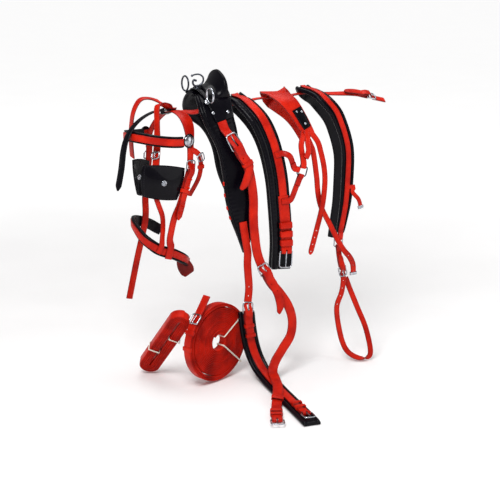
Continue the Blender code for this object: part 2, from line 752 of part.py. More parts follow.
def make_near_tug():
    start = SADDLE.at(SADDLE_TOP + SKIRT_REACH + 3 * GAP, 0.0, SKIRT_LEVEL + GAP)
    step = SADDLE.at(SADDLE_TOP + SKIRT_REACH + STATION_STEP, 0.0, SKIRT_LEVEL + 2 * GAP)
    points = [start, step] + places(ON_SADDLE, SADDLE_REACH, TUG_SHARES)
    tug_end, floor = points[-1], BELLY_LIFT - FLOOR_DEPTH
    points += dropped(tug_end, GIRTH_REACH, floor, BELLY_SHARES)
    route = Route(points, ON_SADDLE.way(TAILWARD))
    tug = Buckle(route, TUG_BAR_PLACE, -1, 0.0, WIDE_STRAP, length=TUG_BUCKLE_LENGTH)
    belly_bar = route.nearest(tug_end[2] + BELLY_BAR_SHARE * (floor - tug_end[2]))
    belly = Buckle(route, belly_bar, -1, 0.0, WIDE_STRAP)
    end = Buckle(route, route.length, 1, 0.0, WIDE_STRAP)
    keeper_end = tug.s_bar + TUG_BUCKLE_LENGTH + 2 * KEEPER_LENGTH
    loose = tug.s_bar + TUG_TIP - keeper_end
    backband = tug.billet(0.0, TUG_TIP, drift=lambda s: -TUG_TIP_DRIFT * max(0.0, (s - keeper_end) / loose) ** 1.5)
    obj = add_object("near_backband", backband, RED_LEATHER)
    cut(obj, tug.billet_hole())
    held = belly.s_bar + BELLY_TIP_HELD
    free = BELLY_TIP - BELLY_TIP_HELD
    strap = belly.billet(0.0, BELLY_TIP, "point", first=list(reversed(tug.carrier_steps())),
                         drift=lambda s: -BELLY_TIP_DRIFT * max(0.0, (s - held) / free) ** 1.5)
    keeper = tug.keeper(TUG_BUCKLE_LENGTH + KEEPER_LENGTH, 3)
    obj = joined("near_tug_strap", [strap, keeper], RED_LEATHER)
    obj = cut(obj, tug.slot())
    cut(obj, belly.billet_hole())
    add_closed_buckle("near_tug", tug)
    obj = add_object("belly_band", end.carrier(0.0, other=belly), RED_LEATHER)
    obj = cut(obj, belly.slot())
    cut(obj, end.slot())
    add_closed_buckle("belly_band", belly)
    add_closed_buckle("belly_band_end", end)


def make_far_tug():
    """The far side's backband and tug strap, which lie on the far panel."""
    level = SKIRT_LEVEL + GAP
    start = SADDLE_TOP - SKIRT_REACH - 5 * GAP
    points = [SADDLE.at(start - d, 0.0, level) for d in np.arange(0.0, FAR_TUG_SHARE * SADDLE_REACH, STATION_STEP)]
    route = Route(points, ON_SADDLE.way(-TAILWARD))
    tug = Buckle(route, TUG_BAR_PLACE, -1, 0.0, WIDE_STRAP, length=TUG_BUCKLE_LENGTH)
    obj = add_object("far_backband", tug.billet(0.0, TUG_TIP), RED_LEATHER)
    cut(obj, tug.billet_hole())
    keeper = tug.keeper(TUG_BUCKLE_LENGTH + KEEPER_LENGTH, 3)
    obj = joined("far_tug_strap", [tug.carrier(route.length), keeper], RED_LEATHER)
    cut(obj, tug.slot())
    add_closed_buckle("far_tug", tug)


# Girth: it is buckled to a billet that comes from the near panel, hangs to the floor and lies along it
BILLET_PLACE = 0.085
BILLET_SIDE = 0.002
BILLET_SHARES = ((0.135, -0.38, -0.985), (0.135, -0.388, -1.05), (0.14, -0.3925, -1.1625))
GIRTH_SHARES = (
    (-0.015, -0.015, 0.236), (-0.007, -0.019, 0.468), (0.009, -0.037, 0.7), (0.029, -0.089, 0.871),
    (0.049, -0.175, 0.974), (0.053, -0.325, 1.0), (0.051, -0.515, 1.0), (0.049, -0.765, 1.0))
FAR_BILLET_SHARES = ((0.47, 0.28, -0.95), (0.49, 0.285, -1.05))
GIRTH_BAR_SHARE = 0.27
GIRTH_TIP = 0.075
GIRTH_END_PAD = 0.012


def make_girth():
    start = [SADDLE.at(SADDLE.length - BILLET_PLACE * share, BILLET_SIDE, PANEL_THICK + 5 * GAP)
             for share in (1.0, 0.75, 0.5, 0.25, 0.0)]
    points = start + places(ON_SADDLE, SADDLE_REACH, BILLET_SHARES)
    billet_end, floor = points[-1], GIRTH_PAD_THICK + 5 * GAP - FLOOR_DEPTH
    route = Route(points + dropped(billet_end, GIRTH_REACH, floor, GIRTH_SHARES))
    top = Buckle(route, route.nearest(billet_end[2] + GIRTH_BAR_SHARE * (floor - billet_end[2])), -1, 0.0, STRAP)
    end = Buckle(route, route.length - BUCKLE_LENGTH, 1, 0.0, STRAP)
    obj = add_object("near_girth_billet", top.billet(0.0, GIRTH_TIP), RED_LEATHER)
    cut(obj, top.billet_hole())
    strap = end.carrier(0.0, other=top)
    keepers = [top.keeper(BUCKLE_LENGTH + KEEPER_LENGTH, 3), top.keeper(2 * BUCKLE_LENGTH + KEEPER_LENGTH, 3),
               end.keeper(BUCKLE_LENGTH + KEEPER_LENGTH, 3)]
    obj = joined("girth_strap", [strap] + keepers, RED_LEATHER)
    obj = cut(obj, top.slot())
    cut(obj, end.slot())
    pad = pad_mesh(route, top.s_bar, route.length + GIRTH_END_PAD, GIRTH_PAD_WIDTH, GIRTH_PAD_THICK,
                   -GIRTH_PAD_THICK - GAP)
    add_object("girth_pad", pad, BLACK_LEATHER)
    add_closed_buckle("girth", top)
    add_buckle("girth_end", end)
    far_points = [SADDLE.at(BILLET_PLACE, 0.0, PANEL_THICK + GAP), SADDLE.at(BILLET_PLACE / 2, 0.0, PANEL_THICK + GAP)]
    far = Route(far_points + places(ON_SADDLE, SADDLE_REACH, FAR_BILLET_SHARES), ON_SADDLE.way(-TAILWARD))
    billet = ribbon(far, 0.0, far.length, STRAP, LEATHER, last="round")
    add_object("far_girth_billet", billet, RED_LEATHER)


# Pieces that are thrown over the rail. The far half lies back along the rail and lower than the near half.
LIE_BACK = vec(0.363, 1.0, -0.285)
FAR_SHARE = 1.4
CREST_CLEAR = 0.012
CREST_TURN = vec(0.005, 0.018, 0.0)


def draped(place, reach, shares):
    """A route over the rail: the far half mirrors the near half, slid back along the rail and down."""
    near = places(ON_RAIL, reach, shares, (place, 0, 0))
    far = [p + (FAR_SHARE * abs(p[1]) + CREST_CLEAR) * LIE_BACK for p in near[1:]]
    far.insert(0, near[0] + CREST_TURN)
    return Route(far[::-1] + near)


# Breast collar
COLLAR_SHARES = (
    (0.0, 0.0, 0.054), (0.03, -0.07, 0.04), (0.09, -0.15, -0.04), (0.138, -0.18, -0.156), (0.168, -0.208, -0.31),
    (0.182, -0.22, -0.46), (0.192, -0.236, -0.682), (0.184, -0.24, -0.85))
COLLAR_STRAP_SIDE = 0.007
TRACE_STRAP = 0.030
TRACE_BUCKLE_LENGTH = 0.044
TRACE_START = 0.205
TRACE_BAR_PLACE = 0.052
WIDE_KEEPER = 0.020
WIDE_KEEPER_LENGTH = 0.0164
WIDE_KEEPER_SHARES = (1.2, 2.4, 3.6)


def make_collar():
    route = draped(COLLAR_PLACE, COLLAR_REACH, COLLAR_SHARES)
    pad = pad_mesh(route, 0.0, route.length, COLLAR_PAD_WIDTH, COLLAR_PAD_THICK)
    add_object("collar_pad", pad, BLACK_LEATHER)
    base = COLLAR_PAD_THICK + 4 * GAP
    side = COLLAR_STRAP_SIDE
    for name, way, s_bar in (("near", 1, route.length - TRACE_BAR_PLACE), ("far", -1, TRACE_BAR_PLACE)):
        trace = Buckle(route, s_bar, way, base, TRACE_STRAP, length=TRACE_BUCKLE_LENGTH, side=side)
        start = s_bar - way * (TRACE_START - TRACE_BAR_PLACE)
        keepers = [trace.keeper(WIDE_KEEPER * k, 3, WIDE_KEEPER_LENGTH) for k in WIDE_KEEPER_SHARES]
        strap = trace.carrier(start)
        obj = joined(name + "_trace_strap", [strap] + keepers, RED_LEATHER)
        cut(obj, trace.slot())
        if way > 0:
            add_buckle("near_trace", trace)
        else:
            add_closed_buckle("far_trace", trace)
    strip = ribbon(route, TRACE_START + GAP, route.length - TRACE_START - GAP, STRAP, LEATHER, base, side,
                   columns=2)
    add_object("collar_strap", strip, RED_LEATHER)
    return route


# Neck strap: two legs from the breast collar and one from the hip strap meet at a ring
NECK_RING_SHARES = (0.49, -0.228, -0.314)
NECK_RING = 0.0145
NECK_NORMALS = (80, 156, 250, 345)
NECK_STRAP = 0.014
UPPER_LEG_SHARES = ((0.41, -0.242, -0.226),)
LOWER_LEG_SHARES = ((0.424, -0.246, -0.448),)
HIP_LEG_SHARES = ((0.51, -0.182, -0.13), (0.492, -0.2, -0.18))
HIP_LOOP_SHARES = ((0.534, -0.194, -0.17), (0.53, -0.214, -0.21), (0.508, -0.23, -0.244))
UPPER_LEG_DROP = -0.112
LOWER_LEG_DROP = -0.236
LEG_ROOT_SHARES = (-0.3, 0.2, 0.7)


def ring_points(centre, normals, radius, chamfer=0.16):
    """A ring with straight sides, one square to each way given in degrees in the XZ plane, tangent to a radius."""
    ways = [TAILWARD * math.cos(math.radians(d)) + UPWARD * math.sin(math.radians(d)) for d in normals]
    corners = []
    for a, b in zip(ways, ways[1:] + ways[:1]):
        corners.append(centre + radius * (a + b) / (1 + a @ b))
    points = []
    for k, corner in enumerate(corners):
        before, after = corners[k - 1], corners[(k + 1) % len(corners)]
        points += [corner + chamfer * (before - corner), corner + chamfer / 3 * (before - corner) * 0.9
                   + chamfer / 3 * (after - corner) * 0.9, corner + chamfer * (after - corner)]
    return points


def eye_places(centre, degrees, radius, thick):
    """Where a strap's underside heads for a ring's side: a point before it, and one under its wire."""
    way = TAILWARD * math.cos(math.radians(degrees)) + UPWARD * math.sin(math.radians(degrees))
    bar = centre + radius * way - NEARWARD * (BUCKLE_WIRE / 2 + 2 * GAP + thick)
    return [bar + way * STATION_STEP, bar + way * STATION_STEP / 2, bar]


def facing(points, out, root=()):
    """The way across a strap at each point, so that its outer side faces one way, or others at its root."""
    ways = np.gradient(np.array(points, float), axis=0)
    outs = list(root) + [out] * (len(points) - len(root))
    return [unit(np.cross(o, way)) for o, way in zip(outs, ways)]


def neck_leg(points, degrees, root=()):
    """A strap of the neck strap whose end is turned round a side of the ring."""
    centre = places(ON_RAIL, COLLAR_REACH, [NECK_RING_SHARES])[0]
    points = points + eye_places(centre, degrees, NECK_RING, THIN_LEATHER)
    route = Route(points, facing(points, NEARWARD, root), STATION_STEP / 2)
    return Buckle(route, route.length, 1, 0.0, NECK_STRAP, THIN_LEATHER, BUCKLE_LENGTH).carrier(0.0)


def make_neck_strap(collar):
    level = COLLAR_PAD_THICK + LEATHER + 5 * GAP
    centre = places(ON_RAIL, COLLAR_REACH, [NECK_RING_SHARES])[0]
    ring = wire_mesh(ring_points(centre, NECK_NORMALS, NECK_RING, 0.1), BUCKLE_WIRE, cyclic=True)
    add_object("neck_ring", ring, POLISHED_STEEL)
    for name, drop, shares, degrees in (("upper", UPPER_LEG_DROP, UPPER_LEG_SHARES, NECK_NORMALS[1]),
                                        ("lower", LOWER_LEG_DROP, LOWER_LEG_SHARES, NECK_NORMALS[2])):
        s = collar.nearest(drop)
        root = [collar.at(s, COLLAR_STRAP_SIDE + STRAP * share, level) for share in LEG_ROOT_SHARES]
        points = root + places(ON_RAIL, COLLAR_REACH, shares)
        leg = neck_leg(points, degrees, [collar.axes(s)[2]] * len(root))
        add_object("neck_strap_" + name, leg, RED_LEATHER)


# Hip strap: one wide piece over the top, split into two strands on the near side
HIP_SHARES = ((0.02, 0.0, 0.084), (0.03, -0.04, 0.078), (0.056, -0.1, 0.042), (0.1, -0.14, -0.04), (0.146, -0.16, -0.13))
FRONT_STRAND_SHARES = (
    (0.15, -0.168, -0.18), (0.166, -0.174, -0.23), (0.182, -0.186, -0.36), (0.19, -0.19, -0.45),
    (0.206, -0.2, -0.53), (0.232, -0.25, -0.61), (0.262, -0.292, -0.69), (0.294, -0.31, -0.752),
    (0.336, -0.31, -0.802), (0.366, -0.29, -0.852), (0.376, -0.276, -0.914))
REAR_STRAND_SHARES = (
    (0.194, -0.168, -0.17), (0.208, -0.176, -0.22), (0.226, -0.186, -0.31), (0.226, -0.2, -0.4),
    (0.206, -0.216, -0.52), (0.17, -0.224, -0.652), (0.13, -0.23, -0.79))
HIP_WIDTH = 0.056
HIP_WIDTH_SHARES = ((0, 0.64), (0.25, 0.8), (0.5, 1.0), (0.75, 0.8), (1, 0.64))
STRAND = 0.016
STRAND_SPREAD = 0.0092
LEG_ROOT = 0.016
HIP_LEG_ROOT_SHARES = (-0.02, -0.24)


def make_hip_strap():
    route = draped(HIP_PLACE, HIP_REACH, HIP_SHARES)
    body = ribbon(route, 0.0, route.length, HIP_WIDTH, LEATHER, swell=share_curve(HIP_WIDTH_SHARES))
    strands = []
    for side, shares, tip in ((-1, FRONT_STRAND_SHARES, "square"), (1, REAR_STRAND_SHARES, "round")):
        root = [route.at(route.length + d, side * STRAND_SPREAD, GAP / 2) for d in (-2 * OVERRUN, OVERRUN)]
        strand = Route(root + places(ON_RAIL, HIP_REACH, shares, (HIP_PLACE, 0, 0)))
        strands.append(ribbon(strand, 0.0, strand.length, STRAND, LEATHER - GAP, last=tip))
    root = [route.at(route.length - LEG_ROOT, HIP_WIDTH * side, GAP) for side in HIP_LEG_ROOT_SHARES]
    strands.append(neck_leg(root + places(ON_RAIL, COLLAR_REACH, HIP_LEG_SHARES), NECK_NORMALS[0]))
    loop = [root[0]] + places(ON_RAIL, COLLAR_REACH, HIP_LOOP_SHARES)
    loop_route = Route(loop, facing(loop, NEARWARD), STATION_STEP / 2)
    strands.append(ribbon(loop_route, 0.0, loop_route.length, NECK_STRAP, THIN_LEATHER))
    joined("hip_strap", [body] + strands, RED_LEATHER)


# Breeching
BREECHING_SHARES = (
    (0.0, 0.0, 0.088), (0.028, -0.06, 0.08), (0.06, -0.12, 0.054), (0.112, -0.16, -0.01), (0.144, -0.18, -0.09),
    (0.167, -0.194, -0.18), (0.174, -0.2, -0.258), (0.166, -0.212, -0.38), (0.152, -0.224, -0.51),
    (0.12, -0.236, -0.66), (0.108, -0.238, -0.7))
BREECHING_STRIP = 0.015
BREECHING_END = 0.014
DEE_RADIUS = 0.0125
DEE_TURNS = (0, 103, 206, 283)
LOOP_SHARES = (
    (0.114, -0.268, -0.83), (0.132, -0.264, -0.9), (0.14, -0.262, -0.95), (0.13, -0.262, -1.02), (0.1, -0.268, -1.11),
    (0.122, -0.28, -1.27), (0.16, -0.3, -1.365), (0.23, -0.33, -1.405), (0.286, -0.34, -1.38), (0.27, -0.31, -1.24),
    (0.23, -0.276, -1.12), (0.186, -0.252, -1.0), (0.164, -0.246, -0.94))
LOOP_BAR_HEIGHT = -0.432
LOOP_TIP = 0.036
SIDE_STRAP = 0.012
SIDE_STRAP_HEIGHT = -0.210
SIDE_ROOT_SHARES = (0.2, 0.8, 1.5)
SIDE_STRAP_SHARES = ((0.19, -0.25, -0.446), (0.224, -0.26, -0.49), (0.238, -0.262, -0.54))


def make_breeching():
    route = draped(BREECHING_PLACE, BREECHING_REACH, BREECHING_SHARES)
    pad = pad_mesh(route, 0.0, route.length - BREECHING_END, BREECHING_PAD_WIDTH, BREECHING_PAD_THICK)
    add_object("breeching_pad", pad, BLACK_LEATHER)
    level = BREECHING_PAD_THICK + 3 * GAP
    strip_eye = Buckle(route, route.length - OVERRUN, 1, level, BREECHING_STRIP, length=EYE_LENGTH)
    along = route.axes(strip_eye.s_bar)[0]
    normals = [math.degrees(math.atan2(-along[2], -along[0])) + turn for turn in DEE_TURNS]
    bar = route.at(strip_eye.s_bar, 0.0, strip_eye.level)
    centre = bar + DEE_RADIUS * unit(vec(along[0], 0, along[2]))
    s = route.nearest(SIDE_STRAP_HEIGHT)
    side_points = [route.at(s, BREECHING_STRIP * share, level + GAP) for share in SIDE_ROOT_SHARES]
    side_points += places(ON_RAIL, BREECHING_REACH, SIDE_STRAP_SHARES, (BREECHING_PLACE, 0, 0))
    side_route = Route(side_points, facing(side_points, NEARWARD, [route.axes(s)[2]] * len(SIDE_ROOT_SHARES)),
                       STATION_STEP / 2)
    side_strap = ribbon(side_route, 0.0, side_route.length, SIDE_STRAP, THIN_LEATHER)
    joined("breeching_strip", [strip_eye.carrier(GAP), side_strap], RED_LEATHER)
    add_object("breeching_dee", wire_mesh(ring_points(centre, normals, DEE_RADIUS), BUCKLE_WIRE, cyclic=True),
               POLISHED_STEEL)
    lower = eye_places(centre, normals[2], DEE_RADIUS, LEATHER)[::-1]
    loop_points = lower + places(ON_RAIL, BREECHING_REACH, LOOP_SHARES, (BREECHING_PLACE, 0, 0))
    loop_route = Route(loop_points, step=STATION_STEP / 2)
    dee_eye = Buckle(loop_route, 0.0, -1, 0.0, NARROW_STRAP, length=EYE_LENGTH)
    buckle = Buckle(loop_route, loop_route.first_below(LOOP_BAR_HEIGHT), 1, 0.0, NARROW_STRAP)
    obj = add_object("breeching_tug", buckle.carrier(0.0, other=dee_eye), RED_LEATHER)
    cut(obj, buckle.slot())
    obj = add_object("loin_loop", buckle.billet(loop_route.length, LOOP_TIP), RED_LEATHER)
    cut(obj, buckle.billet_hole())
    add_closed_buckle("loin_loop", buckle)


# Back strap
BACK_SHARES = (
    (0.124, 0.0, 0.032), (0.18, 0.0, 0.034), (0.25, 0.0, 0.042), (0.3, 0.0, 0.056), (0.4, 0.0, 0.062),
    (0.482, 0.0, 0.063), (0.6, 0.0, 0.077), (0.742, 0.0, 0.066), (0.884, 0.0, 0.06), (0.952, 0.0, 0.046),
    (1.086, 0.0, 0.014))
BACK_BAR_PLACE = 0.484
BACK_TIP = 0.070


def make_back_strap():
    """The back strap, and the crupper strap that its buckle holds."""
    route = Route(places(ON_RAIL, BACK_STRAP_REACH, BACK_SHARES), FARWARD)
    heads = route.points[:, 0]
    buckle = Buckle(route, float(np.interp(BACK_BAR_PLACE, heads, route.along)), 1, 0.0, STRAP)
    obj = add_object("back_strap", buckle.carrier(0.0), RED_LEATHER)
    cut(obj, buckle.slot())
    obj = add_object("crupper_strap", buckle.billet(route.length, BACK_TIP), RED_LEATHER)
    cut(obj, buckle.billet_hole())
    add_closed_buckle("back", buckle)


# Bridle, in its own frame: its near side is turned away from the saddle
CROWN_SHARES = (
    (-0.004, 0.168, -0.2), (0.004, 0.16, -0.116), (0.024, 0.12, -0.044), (0.04, 0.068, -0.004), (0.046, 0.0, 0.01),
    (0.042, -0.068, -0.006), (0.026, -0.124, -0.044), (0.008, -0.16, -0.104), (-0.002, -0.174, -0.18),
    (-0.012, -0.176, -0.27), (-0.038, -0.176, -0.344), (-0.06, -0.176, -0.4), (-0.084, -0.174, -0.46),
    (-0.118, -0.174, -0.516), (-0.136, -0.172, -0.57), (-0.15, -0.168, -0.64))
CROWN_WIDTH_SHARES = ((0, 0.5), (0.3, 0.56), (0.42, 1.0), (0.56, 1.0), (0.75, 0.62), (1.0, 0.58))
CROWN_WIDTH = 0.036
CHEEK_BAR_HEIGHT = -0.140
CHEEK_TIP = 0.135
CHEEK_TIP_DRIFT = 0.026
BEARING_SHARES = ((-0.07, -0.028, 0.006), (-0.04, -0.044, 0.012))
BEARING_ROOT = 0.022
BEARING_ROOT_SHARES = (0.1, 0.45)
THROAT_ROOT_HEIGHT = -0.086
THROAT_SHARES = ((0.046, -0.182, -0.196), (0.058, -0.186, -0.23), (0.062, -0.182, -0.28),
                 (0.056, -0.166, -0.34), (0.03, -0.124, -0.43))
FAR_CHEEK_SHARES = (
    (-0.012, 0.16, -0.28), (-0.04, 0.15, -0.38), (-0.064, 0.132, -0.474),
    (-0.084, 0.114, -0.596), (-0.146, 0.122, -0.824), (-0.202, 0.122, -1.02))
FAR_CHEEK_LAP = 0.030
CHEEK_END_SHARES = (-0.9, 0.0, 0.9)
CHEEK_CROSSING = 0.116


def bands():
    """The routes of the noseband, the crown and the browband, each tied to the one before it."""
    noseband = Route(places(ON_BRIDLE, BRIDLE_REACH, NOSEBAND_SHARES), -UPWARD)
    crossing = [noseband.at(CHEEK_CROSSING, share * BAND_STRIP, 3 * GAP) for share in CHEEK_END_SHARES]
    points = places(ON_BRIDLE, BRIDLE_REACH, CROWN_SHARES) + crossing
    ways = [ON_BRIDLE.way(TAILWARD)] * len(CROWN_SHARES) + [-noseband.axes(CHEEK_CROSSING)[0]] * len(crossing)
    crown = Route(points, ways)
    level = 2 * THIN_LEATHER + 3 * GAP
    near, far = crown.nearest(BROW_HEIGHT), crown.first_above(BROW_HEIGHT)
    points = ([crown.at(near, CROWN_WIDTH * share, level) for share in BROW_END_SHARES]
              + places(ON_BRIDLE, BRIDLE_REACH, BROWBAND_SHARES)
              + [crown.at(far, CROWN_WIDTH * share, level) for share in BROW_END_SHARES[::-1]])
    return noseband, crown, Route(points, -UPWARD)


def make_crown(route):
    cheek = Buckle(route, route.nearest(CHEEK_BAR_HEIGHT), -1, 0.0, STRAP, THIN_LEATHER)
    keeper_end = cheek.s_bar + 2 * BUCKLE_LENGTH + 2 * KEEPER_LENGTH
    billet = cheek.billet(0.0, CHEEK_TIP, "point",
                          drift=lambda s: CHEEK_TIP_DRIFT * max(0.0, (s - keeper_end) / CHEEK_TIP) ** 1.2)
    s = route.along[int(np.argmax(route.points[:, 2]))] + BEARING_ROOT
    root = [route.at(s, CROWN_WIDTH * share, GAP) for share in BEARING_ROOT_SHARES]
    points = root + places(ON_RAIL, BRIDLE_REACH, BEARING_SHARES)
    bearing = Route(points, facing(points, UPWARD, [route.axes(s)[2]] * 2), STATION_STEP / 2)
    s = route.nearest(THROAT_ROOT_HEIGHT)
    points = [route.at(s, 0.0, GAP), route.at(s, STRAP / 3, GAP)] + places(ON_BRIDLE, BRIDLE_REACH, THROAT_SHARES)
    throat = Route(points, facing(points, ON_BRIDLE.way(NEARWARD)), STATION_STEP / 2)
    branches = [ribbon(line, 0.0, line.length, NARROW_STRAP, THIN_LEATHER) for line in (bearing, throat)]
    obj = joined("crownpiece", [billet] + branches, RED_LEATHER)
    cut(obj, cheek.billet_hole())
    keeper = cheek.keeper(2 * BUCKLE_LENGTH, 3)
    obj = joined("near_cheek", [cheek.carrier(route.length), keeper], RED_LEATHER)
    cut(obj, cheek.slot())
    add_closed_buckle("cheek", cheek)
    lap = [route.at(FAR_CHEEK_LAP * share, 0.0, -THIN_LEATHER - GAP) for share in (1.0, 0.5, 0.0)]
    far = Route(lap + places(ON_BRIDLE, BRIDLE_REACH, FAR_CHEEK_SHARES), ON_BRIDLE.way(-TAILWARD))
    add_object("far_cheek", ribbon(far, 0.0, far.length, STRAP, THIN_LEATHER), RED_LEATHER)
    return far


BROW_HEIGHT = -0.063
BROW_END_SHARES = (0.12, -0.3)
BROWBAND_SHARES = (
    (-0.06, -0.182, -0.124), (-0.14, -0.166, -0.116), (-0.21, -0.13, -0.104),
    (-0.246, -0.07, -0.096), (-0.262, 0.0, -0.092), (-0.246, 0.07, -0.096), (-0.206, 0.128, -0.106),
    (-0.14, 0.16, -0.114), (-0.06, 0.174, -0.12))
NOSEBAND_SHARES = (
    (0.048, -0.1, -0.808), (-0.02, -0.144, -0.772), (-0.114, -0.16, -0.724), (-0.18, -0.154, -0.7),
    (-0.232, -0.128, -0.668), (-0.256, -0.07, -0.632), (-0.252, 0.0, -0.59), (-0.22, 0.07, -0.572),
    (-0.16, 0.126, -0.58), (-0.08, 0.152, -0.604), (-0.01, 0.158, -0.636), (0.04, 0.134, -0.668))
BROW_PAD_END = 0.028
BAND_PAD_WIDTH = 0.030
BAND_STRIP = 0.019
ROSETTE = 0.029
ROSETTE_SHARES = (
    (0.0, 0.46), (0.4, 0.4), (0.8, 0.16), (0.97, 0.12), (1.0, 0.0), (0.0, 0.0))


def make_bands(noseband, browband):
    """The browband and the noseband: red strips on padded backs."""
    for name, route, end in (("browband", browband, BROW_PAD_END), ("noseband", noseband, 0.0)):
        low = -BAND_PAD_THICK - THIN_LEATHER
        pad = pad_mesh(route, end, route.length - end, BAND_PAD_WIDTH, BAND_PAD_THICK, low)
        add_object(name + "_pad", pad, BLACK_LEATHER)
        strip = ribbon(route, GAP, route.length - GAP, BAND_STRIP, THIN_LEATHER, 2 * GAP - THIN_LEATHER, columns=2)
        add_object(name + "_strip", strip, RED_LEATHER)
        if name == "browband":
            for side, s in (("near", ROSETTE / 2), ("far", route.length - ROSETTE / 2)):
                along, across, out = route.axes(s)
                foot = route.at(s, 0.0, 3 * GAP)
                disc = turned_mesh([(ROSETTE / 2 * r, ROSETTE / 2 * h) for r, h in ROSETTE_SHARES], foot, out, 16)
                add_object(side + "_rosette", disc, POLISHED_STEEL)


NEAR_BLINKER_SHARES = ((-0.292, -0.12, -0.216), (-0.298, -0.12, -0.394))
NEAR_BLINKER_HEIGHTS = (-0.130, -0.222)
FAR_BLINKER_SHARES = ((-0.172, 0.112, -0.232), (-0.13, 0.124, -0.45))
FAR_BLINKER_HEIGHTS = (-0.132, -0.228)
BLINKER_THICK = 0.005
BLINKER_CUP = 0.010
BLINKER_LAP = 0.005
BLINKER_STEPS = 6
FAR_BLINKER_SLACK = 0.0016


def make_blinkers(crown, far_cheek):
    """The blinkers: cupped plates whose rear edges are sewn behind the cheeks, with their corners drawn in."""
    behind = -BLINKER_THICK / 2 - GAP
    near_rear = [crown.at(crown.nearest(h), BLINKER_LAP - STRAP / 2, behind) for h in NEAR_BLINKER_HEIGHTS]
    far_rear = [far_cheek.at(far_cheek.first_below(h), 0.0, behind - FAR_BLINKER_SLACK) for h in FAR_BLINKER_HEIGHTS]
    for name, shares, rear, way in (("near_blinker", NEAR_BLINKER_SHARES, near_rear, -1),
                                    ("far_blinker", FAR_BLINKER_SHARES, far_rear, 1)):
        (a, c), (b, d) = places(ON_BRIDLE, BRIDLE_REACH, shares), rear
        bulge = unit(np.cross(b - a, c - a)) * BLINKER_CUP * way
        points, faces = [], []
        n = BLINKER_STEPS
        for i in range(n + 1):
            for j in range(n + 1):
                u, v = 2 * i / n - 1, 2 * j / n - 1
                x = u * math.sqrt(1 - 0.16 * v * v) * 0.5 + 0.5
                y = v * math.sqrt(1 - 0.16 * u * u) * 0.5 + 0.5
                flat = (1 - y) * ((1 - x) * a + x * b) + y * ((1 - x) * c + x * d)
                points.append(flat + bulge * (1 - u * u) * (1 - v * v))
        for i in range(n):
            for j in range(n):
                k = i * (n + 1) + j
                faces.append((k, k + 1, k + n + 2, k + n + 1))
        obj = add_object("strip", mesh_from(points, faces), BLACK_LEATHER)
        solid = obj.modifiers.new("thickness", "SOLIDIFY")
        solid.thickness = BLINKER_THICK
        solid.offset = 0.0
        mesh = applied(obj)
        add_object(name, mesh, BLACK_LEATHER)


STAY_NEAR_SHARES = ((0.0, -0.002, 0.040), (-0.06, -0.014, 0.06), (-0.1, -0.03, 0.05),
                    (-0.122, -0.054, -0.03), (-0.15, -0.084, -0.14), (-0.186, -0.114, -0.246))
STAY_FAR_SHARES = ((-0.004, 0.004, 0.0425), (-0.06, 0.014, 0.072), (-0.12, 0.024, 0.092), (-0.17, 0.03, 0.086),
                   (-0.2, 0.044, 0.03), (-0.2, 0.066, -0.05), (-0.186, 0.088, -0.14), (-0.168, 0.104, -0.226))
FACE_DROP_SHARES = ((-0.03, 0.0, 0.021), (-0.1, 0.0, 0.021), (-0.18, 0.0, -0.004), (-0.244, 0.0, -0.046),
                    (-0.288, 0.0, -0.104), (-0.31, 0.0, -0.17), (-0.326, 0.0, -0.26), (-0.354, 0.0, -0.368))
FACE_DROP_WIDTH = 0.024
FACE_DROP_WIDTH_SHARES = ((0, 0.6), (0.45, 0.7), (0.7, 1.0), (1, 1.0))
NOSE_STRAP_SHARES = ((-0.206, -0.125, -0.4), (-0.19, -0.130, -0.45), (-0.17, -0.134, -0.51), (-0.172, -0.14, -0.57),
                     (-0.184, -0.147, -0.62))
NOSE_CROSSING = 0.147
NOSE_END_SHARES = (-0.6, 0.5)
STAY_LEAN_SHARE = 0.8
CROWN_SEAT_SHARES = (0.25, -0.25)


def make_bridle_straps(noseband, crown):
    """The winker stay and the face drop, rooted one on the other on the crown, and the strap to the noseband."""
    front = ON_BRIDLE.way(-TAILWARD)
    near = ON_BRIDLE.way(NEARWARD)
    top = crown.along[int(np.argmax(crown.points[:, 2]))]
    up = crown.axes(top)[2]
    lower = [crown.at(top, CROWN_WIDTH * share, THIN_LEATHER + GAP) for share in CROWN_SEAT_SHARES]
    upper = [crown.at(top, CROWN_WIDTH * share, 2 * (THIN_LEATHER + GAP)) for share in CROWN_SEAT_SHARES]
    crossing = [noseband.at(NOSE_CROSSING, share * BAND_STRIP, 4 * GAP) for share in NOSE_END_SHARES]
    table = (("nose_strap", ((NOSE_STRAP_SHARES, [], crossing),), near, NARROW_STRAP, "square"),
             ("winker_stay", ((STAY_NEAR_SHARES, upper, []), (STAY_FAR_SHARES, upper[1:], [])),
              unit(front + UPWARD * STAY_LEAN_SHARE), NARROW_STRAP, "square"),
             ("face_drop", ((FACE_DROP_SHARES, lower, []),), unit(front + UPWARD), FACE_DROP_WIDTH, "point"))
    for name, branches, out, width, tip in table:
        pieces = []
        for shares, root, end in branches:
            points = root + places(ON_BRIDLE, BRIDLE_REACH, shares) + end
            ways = facing(points, out, [up] * len(root))
            for k in range(len(end)):
                ways[-1 - k] = -noseband.axes(NOSE_CROSSING)[0]
            route = Route(points, ways)
            swell = share_curve(FACE_DROP_WIDTH_SHARES) if name == "face_drop" else None
            pieces.append(ribbon(route, 0.0, route.length, width, THIN_LEATHER, last=tip, swell=swell))
        joined(name, pieces, BLACK_LEATHER if name == "face_drop" else RED_LEATHER)


